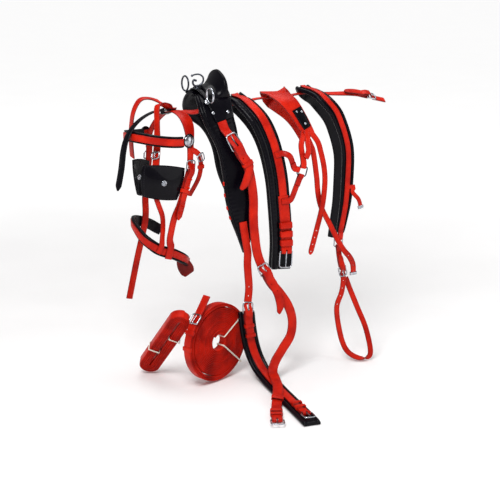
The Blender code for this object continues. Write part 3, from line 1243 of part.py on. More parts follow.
# Rolled reins and traces, stood on the floor
REIN_WIDTH = 0.025
REIN_THICK = 0.0041
REIN_PITCH = 0.0052
REIN_CORE = 0.017
REIN_TURNS = 18
TURN_POINTS = 24
REIN_ROLL_PLACE = (-0.022, -0.1658)
REIN_ROLL_FACING = math.radians(27)
REIN_END_ANGLE = math.radians(46)
REIN_TAIL = 0.070
REIN_TAIL_LIFT = math.radians(10)
TRACE_TURNS = 5
TRACE_CORE = 0.0025
TRACE_RUN = 0.099
TRACE_ROLL_PLACE = (-0.1536, -0.1186)
TRACE_ROLL_LONG = unit(vec(0.262, -0.59, 0.764))
TRACE_ROLL_AXIS = unit(vec(0.0315, -0.775, -0.611))


def wound_strap(points, outward, axis, width, thick):
    """A strap wound on edge: a box section carried along points that lie in the plane across an axis."""
    rings = []
    for p, out in zip(points, outward):
        rings.append([p + axis * (w * width / 2) + out * (h * thick / 2) for w, h in ((-1, -1), (1, -1), (1, 1), (-1, 1))])
    return loft(rings)


def make_rein_roll():
    axis = vec(math.sin(REIN_ROLL_FACING), -math.cos(REIN_ROLL_FACING), 0)
    level = np.cross(UPWARD, axis) * -1
    radius = REIN_CORE + REIN_TURNS * REIN_PITCH
    centre = vec(*REIN_ROLL_PLACE, -FLOOR_DEPTH + radius + REIN_THICK / 2)
    points, outward = [], []
    count = REIN_TURNS * TURN_POINTS
    for k in range(count + 1):
        angle = REIN_END_ANGLE - 2 * math.pi * (count - k) / TURN_POINTS
        out = level * math.cos(angle) + UPWARD * math.sin(angle)
        points.append(centre + out * (REIN_CORE + REIN_PITCH * k / TURN_POINTS))
        outward.append(out)
    lifted = REIN_END_ANGLE - REIN_TAIL_LIFT
    run = UPWARD * math.cos(lifted) - level * math.sin(lifted)
    points.append(points[-1] + run * REIN_TAIL)
    outward.append(outward[-1])
    add_object("rein_roll", wound_strap(points, outward, axis, REIN_WIDTH, REIN_THICK), RED_LEATHER)
    return least_gap(points, REIN_THICK, TURN_POINTS)


def least_gap(points, thick, turn):
    """The least gap of a wound strap to its own next turn, measured between its points."""
    pts = np.array(points)
    gaps = [np.linalg.norm(pts[k + turn] - pts[k]) for k in range(len(pts) - turn - 1)]
    return min(gaps) * math.cos(math.pi / turn) - thick


def make_trace_roll():
    """The traces wound into a long hank: straight runs joined by half rounds that grow by half a turn's pitch."""
    long, axis = TRACE_ROLL_LONG, TRACE_ROLL_AXIS
    axis = unit(axis - (axis @ long) * long)
    cross = np.cross(long, axis)
    half = TRACE_CORE + TRACE_TURNS * REIN_PITCH
    drop = (TRACE_RUN * abs(long[2]) + (half + REIN_THICK) * math.hypot(long[2], cross[2])
            + REIN_WIDTH / 2 * abs(axis[2]))
    centre = vec(*TRACE_ROLL_PLACE, -FLOOR_DEPTH + drop)
    points, outward = [], []
    for k in range(TRACE_TURNS * TURN_POINTS + 1):
        angle = 2 * math.pi * k / TURN_POINTS
        radius = TRACE_CORE + REIN_PITCH * k / TURN_POINTS
        out = long * math.cos(angle) + cross * math.sin(angle)
        run = TRACE_RUN * (1 if math.cos(angle) > 1e-6 else -1 if math.cos(angle) < -1e-6 else 0)
        points.append(centre + long * run + out * radius)
        outward.append(out)
    add_object("trace_roll", wound_strap(points, outward, axis, REIN_WIDTH, REIN_THICK), RED_LEATHER)
    return least_gap(points, REIN_THICK, TURN_POINTS)


make_panels()
make_seat()
make_fittings()
make_near_tug()
make_far_tug()
make_girth()
COLLAR = make_collar()
make_hip_strap()
make_breeching()
make_back_strap()
make_neck_strap(COLLAR)
NOSEBAND, CROWN, BROWBAND = bands()
FAR_CHEEK = make_crown(CROWN)
make_bands(NOSEBAND, BROWBAND)
make_blinkers(CROWN, FAR_CHEEK)
make_bridle_straps(NOSEBAND, CROWN)
ROLL_GAP = make_rein_roll()
TRACE_GAP = make_trace_roll()
print("least gap of the rolled reins to themselves, m:", round(ROLL_GAP, 5))
print("least gap of the rolled traces to themselves, m:", round(TRACE_GAP, 5))
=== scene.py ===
"""Looks of a pony's driving harness: scarlet straps, black padded leather and polished steel.

Every piece is worked out in metres in the frame's own place. The straps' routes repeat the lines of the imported
model, read finely, and each strap, pad and roll is one grid of points carried along its route.
"""
import math

import bmesh
import bpy
import numpy as np
from mathutils import Matrix, Vector


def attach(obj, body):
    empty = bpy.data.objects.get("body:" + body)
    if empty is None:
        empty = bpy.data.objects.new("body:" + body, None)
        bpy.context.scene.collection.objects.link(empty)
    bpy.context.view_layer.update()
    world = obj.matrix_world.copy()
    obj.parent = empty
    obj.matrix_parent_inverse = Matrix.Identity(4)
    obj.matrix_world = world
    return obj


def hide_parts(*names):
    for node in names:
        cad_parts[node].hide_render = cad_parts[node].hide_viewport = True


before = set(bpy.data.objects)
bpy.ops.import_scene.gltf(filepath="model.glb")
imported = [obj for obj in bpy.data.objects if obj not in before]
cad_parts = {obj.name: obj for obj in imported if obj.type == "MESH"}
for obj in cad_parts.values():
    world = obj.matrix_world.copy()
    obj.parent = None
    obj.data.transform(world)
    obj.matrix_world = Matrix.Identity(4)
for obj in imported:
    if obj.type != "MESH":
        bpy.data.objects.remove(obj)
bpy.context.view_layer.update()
BODY = "harness"
FLOOR_DEPTH = 0.710

# Clearances, and the steps of the stations along which distances are counted
GAP, OVERRUN = 0.0004, 0.002
STATION_STEP, SPAN_SAMPLES = 0.024, 12

# Straps, their keepers and their tips
LEATHER, THIN_LEATHER = 0.0035, 0.0030
WIDE_STRAP, STRAP, NARROW_STRAP = 0.027, 0.022, 0.016
KEEPER_LENGTH, KEEPER_WALL, KEEPER_CORNER = 0.010, 0.0022, 0.0022
TIP_LENGTH, POINT_SHARE = 0.016, 0.22

# Buckles, and the holes that straps are punched with
BUCKLE_WIRE, BUCKLE_LENGTH, EYE_LENGTH, TONGUE_THICK = 0.0038, 0.028, 0.014, 0.0030
HOLE = 0.0018

# Fineness of the surfaces, and the size of the stitches
TIP_FINE_STEP, STRAP_STEP, PAD_STEP = 0.0008, 0.004, 0.003
STITCH_PITCH, STITCH_LENGTH, STITCH_THICK, STITCH_INSET = 0.0042, 0.0029, 0.0007, 0.0029


def unit(v):
    return v / np.linalg.norm(v)


def units(rows):
    return rows / np.maximum(np.linalg.norm(rows, axis=-1, keepdims=True), 1e-12)


def vec(x, y, z):
    return np.array((x, y, z), float)


TAILWARD, FARWARD, NEARWARD, UPWARD = vec(1, 0, 0), vec(0, 1, 0), vec(0, -1, 0), vec(0, 0, 1)


def beside(way, first=UPWARD):
    """A way square to another one: across it and the first choice, or tailward where those are nearly in line."""
    return unit(np.cross(way, first if abs(way @ first) < 0.9 else TAILWARD))


def spokes(turn, side, up):
    """The ways at some angles in the plane of two square ways."""
    turn = np.asarray(turn, float)[..., None]
    return np.cos(turn) * side + np.sin(turn) * up


def full_turn(count):
    return np.linspace(0, 2 * math.pi, count, endpoint=False)


def run_of(points):
    """The distances along a line of points."""
    return np.concatenate([[0], np.cumsum(np.linalg.norm(np.diff(points, axis=0), axis=1))])


def sampled(at, run, rows):
    return np.stack([np.interp(at, run, column) for column in rows.T], 1)


def span(u, p, q, a, b):
    """A cubic span at shares u from p to q, with the slopes a and b at its ends."""
    return (2 * u**3 - 3 * u**2 + 1) * p + (u**3 - 2 * u**2 + u) * a + (3 * u**2 - 2 * u**3) * q + (u**3 - u**2) * b


def smooth_curve(table):
    """A function that reads a smooth curve through (share, value) pairs: cubic spans with averaged slopes."""
    xs, ys = np.array(table, float).T
    slopes = np.gradient(ys, xs)

    def curve(u):
        u = np.clip(np.asarray(u, float), xs[0], xs[-1])
        i = np.clip(np.searchsorted(xs, u, side="right") - 1, 0, len(xs) - 2)
        h = xs[i + 1] - xs[i]
        return span((u - xs[i]) / h, ys[i], ys[i + 1], h * slopes[i], h * slopes[i + 1])
    return curve


def rounded(share):
    """The height of a quarter round at a share of its radius from the edge."""
    return np.sqrt(share * (2 - share))


class Frame:
    """A place that is turned about Z and moved along the rail, for the pieces that hang askew."""

    def __init__(self, degrees, x=0.0):
        self.turn, self.place = np.array(Matrix.Rotation(math.radians(degrees), 3, "Z")), vec(x, 0, 0)

    def way(self, direction):
        return self.turn @ direction

    def line(self, table, start=0):
        """The points of a table in millimetres, from a start along the rail."""
        return [self.way(vec(start + x, y, z) / 1000) + self.place for x, y, z in table]


ON_RAIL, ON_SADDLE, ON_BRIDLE = Frame(0), Frame(8), Frame(24, -0.098)


def dropped(start, floor, shares):
    """Points from a start down to a floor: millimetres to the side, and shares of the drop."""
    return [start + vec(x / 1000, y / 1000, (floor - start[2]) * z) for x, y, z in shares]


class Route:
    """A smooth line through points, with a way across and a way out: cubic spans with averaged slopes.

    Distances count along straight stations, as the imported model's do, so one distance names one place in both.
    """

    def __init__(self, points, across=TAILWARD, step=STATION_STEP):
        pts = np.array(points, float)
        across = np.broadcast_to(np.array(across, float), pts.shape)
        slopes = np.gradient(pts, axis=0)
        u = np.linspace(0, 1, SPAN_SAMPLES, endpoint=False)[None, :, None]
        dense = span(u, pts[:-1, None], pts[1:, None], slopes[:-1, None], slopes[1:, None]).reshape(-1, 3)
        side = ((1 - u) * across[:-1, None] + u * across[1:, None]).reshape(-1, 3)
        dense, side = np.vstack([dense, pts[-1:]]), np.vstack([side, across[-1:]])
        run = run_of(dense)
        at = np.linspace(0, run[-1], max(2, int(round(run[-1] / step)) + 1))
        self.points = sampled(at, run, dense)
        self.along = run_of(self.points)
        self.length = self.along[-1]
        self.ends = units(np.diff(self.points, axis=0)[[0, -1]])
        self.marks = np.interp(run, at, self.along)
        ways = units(np.gradient(dense, axis=0))
        side = units(side - np.sum(side * ways, 1)[:, None] * ways)
        self.rows = np.hstack([dense, side, np.cross(ways, side)])

    def read(self, s, side=0.0, out=0.0):
        """Points at distances s, moved to the side and out, and the ways across and out. Ends run on straight."""
        s, side, out = np.broadcast_arrays(np.atleast_1d(np.asarray(s, float)), side, out)
        rows = sampled(s, self.marks, self.rows)
        sides, outs = rows[:, 3:6], rows[:, 6:]
        before, beyond = np.minimum(s, 0)[:, None], np.maximum(s - self.length, 0)[:, None]
        points = (rows[:, :3] + before * self.ends[0] + beyond * self.ends[1]
                  + side[:, None] * sides + out[:, None] * outs)
        return points, sides, outs

    def at(self, s, side=0.0, out=0.0):
        return self.read(s, side, out)[0][0]

    def axes(self, s):
        """The ways along, across and out at distance s."""
        along = unit(self.at(s + OVERRUN / 2) - self.at(s - OVERRUN / 2))
        across = self.at(s, 1.0) - self.at(s)
        across = unit(across - (across @ along) * along)
        return along, across, np.cross(along, across)

    def passing(self, height, which=-1, falling=True):
        """The distance at which the stations pass a height: the last place or another, going down or up."""
        z = self.points[:, 2]
        low, high = np.minimum(z[1:], z[:-1]), np.maximum(z[1:], z[:-1])
        i = np.flatnonzero((low <= height) & (height <= high) & ((np.diff(z) < 0) == falling))[which]
        return self.along[i] + (height - z[i]) / (z[i + 1] - z[i]) * (self.along[i + 1] - self.along[i])

    def top(self):
        return self.along[int(np.argmax(self.points[:, 2]))]


def facing(points, out, root=()):
    """The way across a strap at each point, so that its outer side faces one way, or others at its root."""
    outs = list(root) + [out] * (len(points) - len(root))
    return [unit(np.cross(o, way)) for o, way in zip(outs, np.gradient(np.array(points, float), axis=0))]


def linear(code):
    """A colour's sRGB hex code as linear light."""
    parts = np.array([int(code[k:k + 2], 16) / 255 for k in (1, 3, 5)])
    return (*np.where(parts <= 0.04045, parts / 12.92, ((parts + 0.055) / 1.055) ** 2.4), 1.0)


def node(tree, kind, links=(), **settings):
    """A shader node: settings by socket name or attribute, and links as (socket, source node, its socket)."""
    made = tree.nodes.new(kind)
    for name, value in settings.items():
        socket = name.replace("_", " ")
        if socket in made.inputs:
            made.inputs[socket].default_value = value
        else:
            setattr(made, name, value)
    for socket, source, output in links:
        tree.links.new(source.outputs[output], made.inputs[socket])
    return made


def surface(name, light, dark, cycles, wear=None, bumps=(), **values):
    """A material whose colour drifts between two hex codes over a noise of so many cycles a metre.

    wear is a noise in the roughness: (cycles, detail, span of the noise, span of the roughness). bumps are layers,
    each laid on the last: (kind of texture, its output, its settings, strength, depth in metres).
    """
    made = bpy.data.materials.new(name)
    made.use_nodes = True
    tree = made.node_tree
    shader = tree.nodes["Principled BSDF"]
    where = [("Vector", node(tree, "ShaderNodeTexCoord"), "Object")]
    noise = node(tree, "ShaderNodeTexNoise", where, Scale=cycles, Detail=4.0)
    ramp = node(tree, "ShaderNodeValToRGB", [("Fac", noise, "Fac")])
    for stop, place, code in zip(ramp.color_ramp.elements, (0.35, 0.65), (dark, light)):
        stop.position, stop.color = place, linear(code)
    tree.links.new(ramp.outputs["Color"], shader.inputs["Base Color"])
    if wear:
        cycles, detail, (low, high), (smooth, rough) = wear
        rubbed = node(tree, "ShaderNodeTexNoise", where, Scale=cycles, Detail=detail)
        spread = node(tree, "ShaderNodeMapRange", [("Value", rubbed, "Fac")], From_Min=low, From_Max=high,
                      To_Min=smooth, To_Max=rough)
        tree.links.new(spread.outputs["Result"], shader.inputs["Roughness"])
    under = []
    for kind, output, settings, strength, depth in bumps:
        texture = node(tree, kind, where, **settings)
        bump = node(tree, "ShaderNodeBump", [("Height", texture, output)] + under, Strength=strength, Distance=depth)
        under = [("Normal", bump, "Normal")]
    for socket, source, output in under:
        tree.links.new(source.outputs[output], shader.inputs[socket])
    for socket, value in values.items():
        shader.inputs[socket.replace("_", " ")].default_value = value
    return made


def leather(name, light, dark, rough, sheen, coat, coat_rough, grain_mm, grain_depth, crease):
    """Tanned cowhide: fine pebbled grain from Voronoi cells, soft creases across, and a waxed or patent coat."""
    grain = ("ShaderNodeTexVoronoi", "Distance", {"Scale": 1000.0 / grain_mm}, 0.35, grain_depth)
    folds = ("ShaderNodeTexNoise", "Fac", {"Scale": 110.0, "Detail": 2.0}, 0.5, crease)
    return surface(name, light, dark, 22.0, (60.0, 3.0, (0.3, 0.7), (rough - 0.06, rough + 0.08)), (grain, folds),
                   Specular_IOR_Level=sheen, Coat_Weight=coat, Coat_Roughness=coat_rough)


def metal(name, light, dark, rough):
    """Polished plate: faint rubbing marks in the roughness, and a slightly uneven tone."""
    return surface(name, light, dark, 90.0, (700.0, 2.0, (0.0, 1.0), (rough, rough + 0.12)), Metallic=1.0)


def thread(name, light, dark, rough):
    """Waxed or cotton thread: a fine twist in the bump."""
    twist = ("ShaderNodeTexNoise", "Fac", {"Scale": 1500.0, "Detail": 1.0}, 0.6, 0.0003)
    return surface(name, light, dark, 400.0, bumps=(twist,), Roughness=rough)


# Dyed and waxed strap leather: strong scarlet, with the soft sheen of its wax
SCARLET_STRAP = leather("scarlet_strap_leather", "#CB2009", "#A81104", 0.42, 0.10, 0.08, 0.26, 0.9, 0.00012, 0.0004)
# The cut edges are dyed and burnished darker than the grain side; the noseband's turned-down tail is drawn in it too,
# as painted shade
SCARLET_EDGE_AND_SHADE = leather("burnished_scarlet_edge_and_painted_shade", "#8E0E08", "#620805", 0.5, 0.2, 0.1, 0.3, 0.9, 0.00015, 0.0003)
# The rolled reins show their edges side by side: less burnished, near the strap's own red
SCARLET_ROLL = leather("rolled_scarlet_edge", "#BE1806", "#880B02", 0.5, 0.08, 0.03, 0.3, 0.9, 0.00015, 0.0003)
# Soft lining leather over felt: nearly black with a blue cast and low sheen
BLACK_PAD = leather("black_pad_leather", "#09070F", "#040308", 0.34, 0.07, 0.12, 0.22, 1.4, 0.00018, 0.0007)
# Patent leather: its lacquer gives small bright highlights over black
BLACK_PATENT = leather("black_patent_leather", "#08060D", "#030207", 0.32, 0.06, 0.13, 0.08, 1.2, 0.00006, 0.0003)
# Chromium plate on steel: bright, slightly rubbed
CHROME = metal("chrome_plate", "#C9CBD1", "#8C9098", 0.10)
# A darker plate on the far terret, the hook, the neck ring and the crown knob: the same polish, darker. On the far
# terret it is painted shade, as the near terret of the pair is bright chrome
DARK_PLATE_AND_SHADE = metal("dark_plate_and_painted_shade", "#5A5D66", "#3A3C44", 0.16)
# Cotton string: off-white and matt
STRING = thread("cotton_string", "#F4F0E6", "#E2DBCB", 0.9)
# Waxed linen thread: a shade darker than the strap, and black for the pads
RED_THREAD = thread("red_linen_thread", "#8A0D08", "#5E0704", 0.6)
BLACK_THREAD = thread("black_linen_thread", "#23232E", "#14141C", 0.55)

STITCHES = {"red": [], "black": []}


def joined(meshes):
    """Several meshes as one, each kept as its own closed shell."""
    bm = bmesh.new()
    for mesh in meshes:
        bm.from_mesh(mesh)
    made = bpy.data.meshes.new("joined")
    bm.to_mesh(made)
    bm.free()
    return made


def placed(name, data):
    obj = bpy.data.objects.new(name, data)
    bpy.context.scene.collection.objects.link(obj)
    return obj


def pierced(mesh, cutters):
    """The mesh with closed cutters taken out of it by an exact Boolean."""
    base, tool = placed("base", mesh), placed("tool", joined(cutters))
    boolean = base.modifiers.new("cut", "BOOLEAN")
    boolean.operation, boolean.object = "DIFFERENCE", tool
    bpy.context.view_layer.update()
    graph = bpy.context.evaluated_depsgraph_get()
    made = bpy.data.meshes.new_from_object(base.evaluated_get(graph), depsgraph=graph)
    for obj in (base, tool):
        bpy.data.objects.remove(obj, do_unlink=True)
    return made


def add_piece(name, meshes, finish, edge=None, replaces=(), body=BODY, holes=()):
    """One piece of the harness, from closed shells. A strap's cut edges may have a finish of their own.
    """
    mesh = joined(meshes)
    for made in (finish, edge or finish):
        mesh.materials.append(made)
    if holes:
        mesh = pierced(mesh, holes)
    mesh.shade_smooth()
    mesh.set_sharp_from_angle(angle=math.radians(48))
    obj = placed(name, mesh)
    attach(obj, body)
    if replaces:
        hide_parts(*replaces)
    return obj


def leather_piece(name, meshes, holes=(), finish=SCARLET_STRAP, edge=SCARLET_EDGE_AND_SHADE):
    """One strap of the harness: its layers as one piece, with its slots and holes cut."""
    add_piece(name + "_leather", meshes, finish, edge, [name], holes=holes)


def padded_piece(name, mesh, finish=BLACK_PAD):
    add_piece(name + "_cover", [mesh], finish, replaces=[name])


def steel_piece(name, meshes, finish=CHROME, body=BODY):
    add_piece(name + "_plate", meshes, finish, replaces=[name], body=body)


def skin(grid, closed=False, uv=None, edges=()):
    """A closed mesh over rings of points: the rows run along the piece, the columns go round it.

    The faces are turned outwards by the sign of the volume: the sum over the faces' fans of a x b . c.
    """
    n, m = grid.shape[:2]
    i, k = np.arange(n if closed else n - 1)[:, None], np.arange(m)[None, :]
    j, l = (i + 1) % n, (k + 1) % m
    quads = np.stack(np.broadcast_arrays(i * m + k, i * m + l, j * m + l, j * m + k), -1).reshape(-1, 4)
    caps = [] if closed else [np.arange(m)[::-1], (n - 1) * m + np.arange(m)]
    flat = grid.reshape(-1, 3)
    apart = flat - flat.mean(0)
    a, b, c, d = (apart[quads[:, x]] for x in range(4))
    volume = np.sum(np.cross(a, b) * c) + np.sum(np.cross(a, c) * d)
    volume += sum(np.sum(np.cross(apart[cap[0]], apart[cap[1:-1]]) * apart[cap[2:]]) for cap in caps)
    turn = 1 if volume > 0 else -1
    mesh = bpy.data.meshes.new("skin")
    mesh.from_pydata(flat.tolist(), [], quads[:, ::turn].tolist() + [cap[::turn].tolist() for cap in caps])
    if uv is not None:
        layer = mesh.uv_layers.new(name="UVMap")
        corners = np.zeros(len(mesh.loops), np.int32)
        mesh.loops.foreach_get("vertex_index", corners)
        layer.data.foreach_set("uv", uv.reshape(-1, 2)[corners].astype(np.float32).ravel())
    if len(edges):
        index = np.ones(len(mesh.polygons), np.int32)
        index[:len(quads)] = np.isin(np.arange(len(quads)) % m, edges)
        mesh.polygons.foreach_set("material_index", index)
    mesh.update()
    return mesh


# A strap's cut section, from the middle of one edge over the top: distances in from the edge, and heights
EDGE_INSETS = np.array((0.0, 0.0002, 0.0008, 0.0020, 0.0024, 0.0029, 0.0034, 0.0039))
EDGE_HEIGHTS = np.array((0.5, 0.80, 0.97, 1.0, 0.96, 0.84, 0.96, 1.0))
EDGE_COLUMNS = (0, 1, 14, 15, 16, 17, 30, 31)
CROWN_SHARE = 0.06


def strap_section(half, thick):
    """Points (across, height) of a strap's section at each row: rounded edges and a pressed sewing line
    near each, on both faces, and a slight crown between them."""
    high = EDGE_HEIGHTS
    half = np.maximum(half, 1e-5)[:, None]
    x = np.maximum(half - EDGE_INSETS, half * 0.1 * (1 - EDGE_INSETS / 0.01))
    zero = np.zeros_like(half)
    h = np.concatenate([high, [1 + CROWN_SHARE], high[::-1], 1 - high[1:], [-CROWN_SHARE], 1 - high[:0:-1]])
    return np.hstack([x, zero, -x[:, ::-1], -x[:, 1:], zero, x[:, :0:-1]]), h * np.ones_like(half) * thick


def strap_mesh(points, across, normals, half, thick, stitched="red"):
    """A strap: its section carried along a line. points are the middle of its underside, normals its outer way."""
    x, h = strap_section(half, thick)
    grid = points[:, None] + x[:, :, None] * across[:, None] + h[:, :, None] * normals[:, None]
    run = run_of(points)
    if stitched:
        sew_line(points, across, normals, half, thick, run, stitched)
    uv = np.stack([np.broadcast_to(run[:, None], x.shape), x], -1)
    return skin(grid, uv=uv, edges=EDGE_COLUMNS)


def sew_line(points, across, normals, half, thick, run, colour):
    """Keeps the places of a strap's stitches: two rows, in from the edges, on the outer face."""
    at = np.arange(STITCH_PITCH * 1.5, run[-1] - STITCH_PITCH, STITCH_PITCH)
    if not len(at):
        return
    rows = np.column_stack([points, across, normals, np.gradient(points, run, axis=0), half])
    rows = sampled(at, run, rows)
    p, a, n, ways, wide = rows[:, :3], units(rows[:, 3:6]), units(rows[:, 6:9]), units(rows[:, 9:12]), rows[:, 12]
    keep = wide > STITCH_INSET + 0.0015
    for sign in (-1, 1):
        centre = p + sign * (wide - STITCH_INSET)[:, None] * a + (thick * 0.88) * n
        STITCHES[colour].append(np.stack([centre, ways, a, n], 1)[keep])


def seam(route, s, side, level, colour="black"):
    """Keeps the places of a line of stitches along a route, at distances s and an offset to the side."""
    points, across, outs = route.read(s, side, level)
    STITCHES[colour].append(np.stack([points, units(np.gradient(points, axis=0)), units(across), units(outs)], 1))


def spaced(start, end):
    return np.arange(start, end, STITCH_PITCH)


BEAD_STEPS = ((-0.5, 0.3), (-0.26, 0.95), (0.26, 0.95), (0.5, 0.3))


def stitch_mesh(rows):
    """Stitches: each is a six-sided bead drawn out along its seam, with its ends drawn in."""
    rows = np.concatenate(rows)
    turn = np.radians(np.arange(6) * 60.0)
    local = np.array([(u * STITCH_LENGTH, r * STITCH_THICK / 2 * math.cos(a), r * STITCH_THICK / 2 * math.sin(a))
                      for u, r in BEAD_STEPS for a in turn])
    points = rows[:, None, 0] + np.einsum("pk,nkx->npx", local, rows[:, 1:])
    i, k = np.meshgrid(np.arange(3), np.arange(6), indexing="ij")
    walls = np.stack([i * 6 + k, (i + 1) * 6 + k, (i + 1) * 6 + (k + 1) % 6, i * 6 + (k + 1) % 6], -1).reshape(-1, 4)
    bead = np.vstack([walls, ((0, 1, 2, 3), (0, 3, 4, 5), (21, 20, 19, 18), (23, 22, 21, 18))])
    faces = (np.arange(len(rows))[:, None, None] * len(local) + bead).reshape(-1, 4)
    turned = np.einsum("nx,nx->n", np.cross(rows[:, 1], rows[:, 2]), rows[:, 3]) < 0
    flip = np.repeat(turned, len(bead))
    faces[flip] = faces[flip][:, ::-1]
    mesh = bpy.data.meshes.new("stitches")
    mesh.from_pydata(points.reshape(-1, 3).tolist(), [], faces.tolist())
    return mesh


def sewn(where):
    """The stitches gathered so far, as one piece for each colour of thread."""
    for colour, finish in (("red", RED_THREAD), ("black", BLACK_THREAD)):
        if STITCHES[colour]:
            add_piece(where + "_" + colour + "_stitches", [stitch_mesh(STITCHES[colour])], finish)
        STITCHES[colour].clear()


def eased(steps, window=5):
    """(distance, offset) steps as a dense line with rounded corners: a moving average, thinned where straight."""
    pts = np.array(steps, float)
    run = run_of(pts)
    dense = sampled(np.linspace(0, run[-1], int(run[-1] / TIP_FINE_STEP) + 2), run, pts)
    padded = np.pad(dense, ((window // 2, window // 2), (0, 0)), mode="reflect", reflect_type="odd")
    dense = np.stack([np.convolve(column, np.ones(window) / window, "valid") for column in padded.T], 1)
    way = np.gradient(dense, axis=0)
    bend = np.abs(np.gradient(np.unwrap(np.arctan2(way[:, 1], way[:, 0]))))
    keep = (np.arange(len(dense)) % 5 == 0) | (bend > 0.02)
    keep[[0, -1]] = True
    return dense[keep]


def tip_width(distance, kind):
    """The share of the full width at a distance from a strap's tip: round, or pointed with a blunt end."""
    u = np.clip(distance / TIP_LENGTH, 0, 1)
    if kind == "square":
        return np.clip(0.9 + distance / 0.012, 0, 1)
    if kind == "round":
        return np.sqrt(np.maximum(1 - (1 - u) ** 2, 0.02))
    return POINT_SHARE + (1 - POINT_SHARE) * np.sin(u * math.pi / 2) ** 1.2


def strip_mesh(route, steps, width, thick, side=0.0, tip=None, way=1, drift=None, swell=None):
    """A strap along (distance, offset out) steps of its underside, which run the given way."""
    s, out = eased(steps).T
    points, across, _ = route.read(s, side + (drift(s) if drift else 0.0), out)
    across = units(across)
    run = run_of(points)
    half = width / 2 * np.ones(len(s)) * (tip_width(run[-1] - run, tip) if tip else 1) * (swell(s) if swell else 1)
    return strap_mesh(points, across, units(way * np.cross(np.gradient(points, axis=0), across)), half, thick)


def ribbon(route, start, end, width, thick, out=0.0, side=0.0, last="square", swell=None, colour="red"):
    """A plain strap between two distances on a route."""
    s = np.concatenate([np.arange(start, end, STRAP_STEP),
                        np.arange(max(start, end - TIP_LENGTH), end, TIP_FINE_STEP), [end]])
    s = np.unique(s)
    u = (s - start) / (end - start)
    points, across, outs = route.read(s, side(u) if callable(side) else side, out)
    half = width / 2 * tip_width(end - s, last) * (swell(u) if swell else 1)
    return strap_mesh(points, units(across), units(outs), half, thick, colour)


def whole(route, width, thick, **settings):
    """A plain strap along a whole route."""
    return ribbon(route, 0.0, route.length, width, thick, **settings)


# A keeper's section, from one edge over its outer face: (share of its length, share of its half wall)
KEEPER_SECTION = (
    (-0.5, 0.0), (-0.44, 0.8), (-0.3, 1.0), (0.3, 1.0), (0.44, 0.8), (0.5, 0.0), (0.44, -1.0), (-0.44, -1.0))


def keeper_mesh(route, s, width, low, high, side=0.0, length=KEEPER_LENGTH):
    """A strap keeper: a flat loop with rounded corners and edges, round what lies between two offsets out."""
    half_w, half_h = width / 2 + GAP + KEEPER_WALL / 2, (high - low + KEEPER_WALL) / 2
    corner = min(half_h, KEEPER_CORNER)
    grid = []
    for sx, sy, turn in ((1, 1, 0), (-1, 1, 90), (-1, -1, 180), (1, -1, 270)):
        for a in np.radians(np.linspace(turn, turn + 90, 6)):
            nx, ny = math.cos(a), math.sin(a)
            x = side + sx * (half_w - corner) + corner * nx
            y = (high + low) / 2 + sy * (half_h - corner) + corner * ny
            grid.append([route.at(s + u * length, x + nx * w * KEEPER_WALL / 2, y + ny * w * KEEPER_WALL / 2)
                         for u, w in KEEPER_SECTION])
    return skin(np.array(grid), closed=True)


def box_mesh(route, ends, half, low, high, side=0.0):
    """A long slot's cutter along a route."""
    corners = ((-half, low), (half, low), (half, high), (-half, high))
    rings = [[route.at(x, side + v, h) for v, h in corners] for x in np.linspace(min(ends), max(ends), 6)]
    return skin(np.array(rings))


def tube_mesh(points, radius, sides=12, closed=False):
    """A round wire along points: a circle carried in a frame that turns as little as it can."""
    pts = np.array(points, float)
    ways = units(np.roll(pts, -1, 0) - np.roll(pts, 1, 0)) if closed else units(np.gradient(pts, axis=0))
    side = beside(ways[0])
    grid = []
    for p, way, r in zip(pts, ways, np.broadcast_to(np.asarray(radius, float), len(pts))):
        side = unit(side - (side @ way) * way)
        grid.append(p + r * spokes(full_turn(sides), side, np.cross(way, side)))
    return skin(np.array(grid), closed=closed)


def turned_mesh(profile, foot, up, sides=32, size=1.0):
    """A turned piece: (radius, height) pairs spun round its own way up, with a drawn-in top and foot."""
    up = unit(up)
    side = beside(up, FARWARD)
    circle = spokes(full_turn(sides), side, np.cross(up, side))
    return skin(np.array([foot + up * h * size + r * size * circle for r, h in profile]))


def punched(route, marks, side=0.0, out=0.0):
    """Cutters of the round holes that a strap is punched with."""
    return [tube_mesh([route.at(s, side, out) + sign * 0.015 * route.axes(s)[2] for sign in (-1, 1)], HOLE, 14)
            for s in marks]


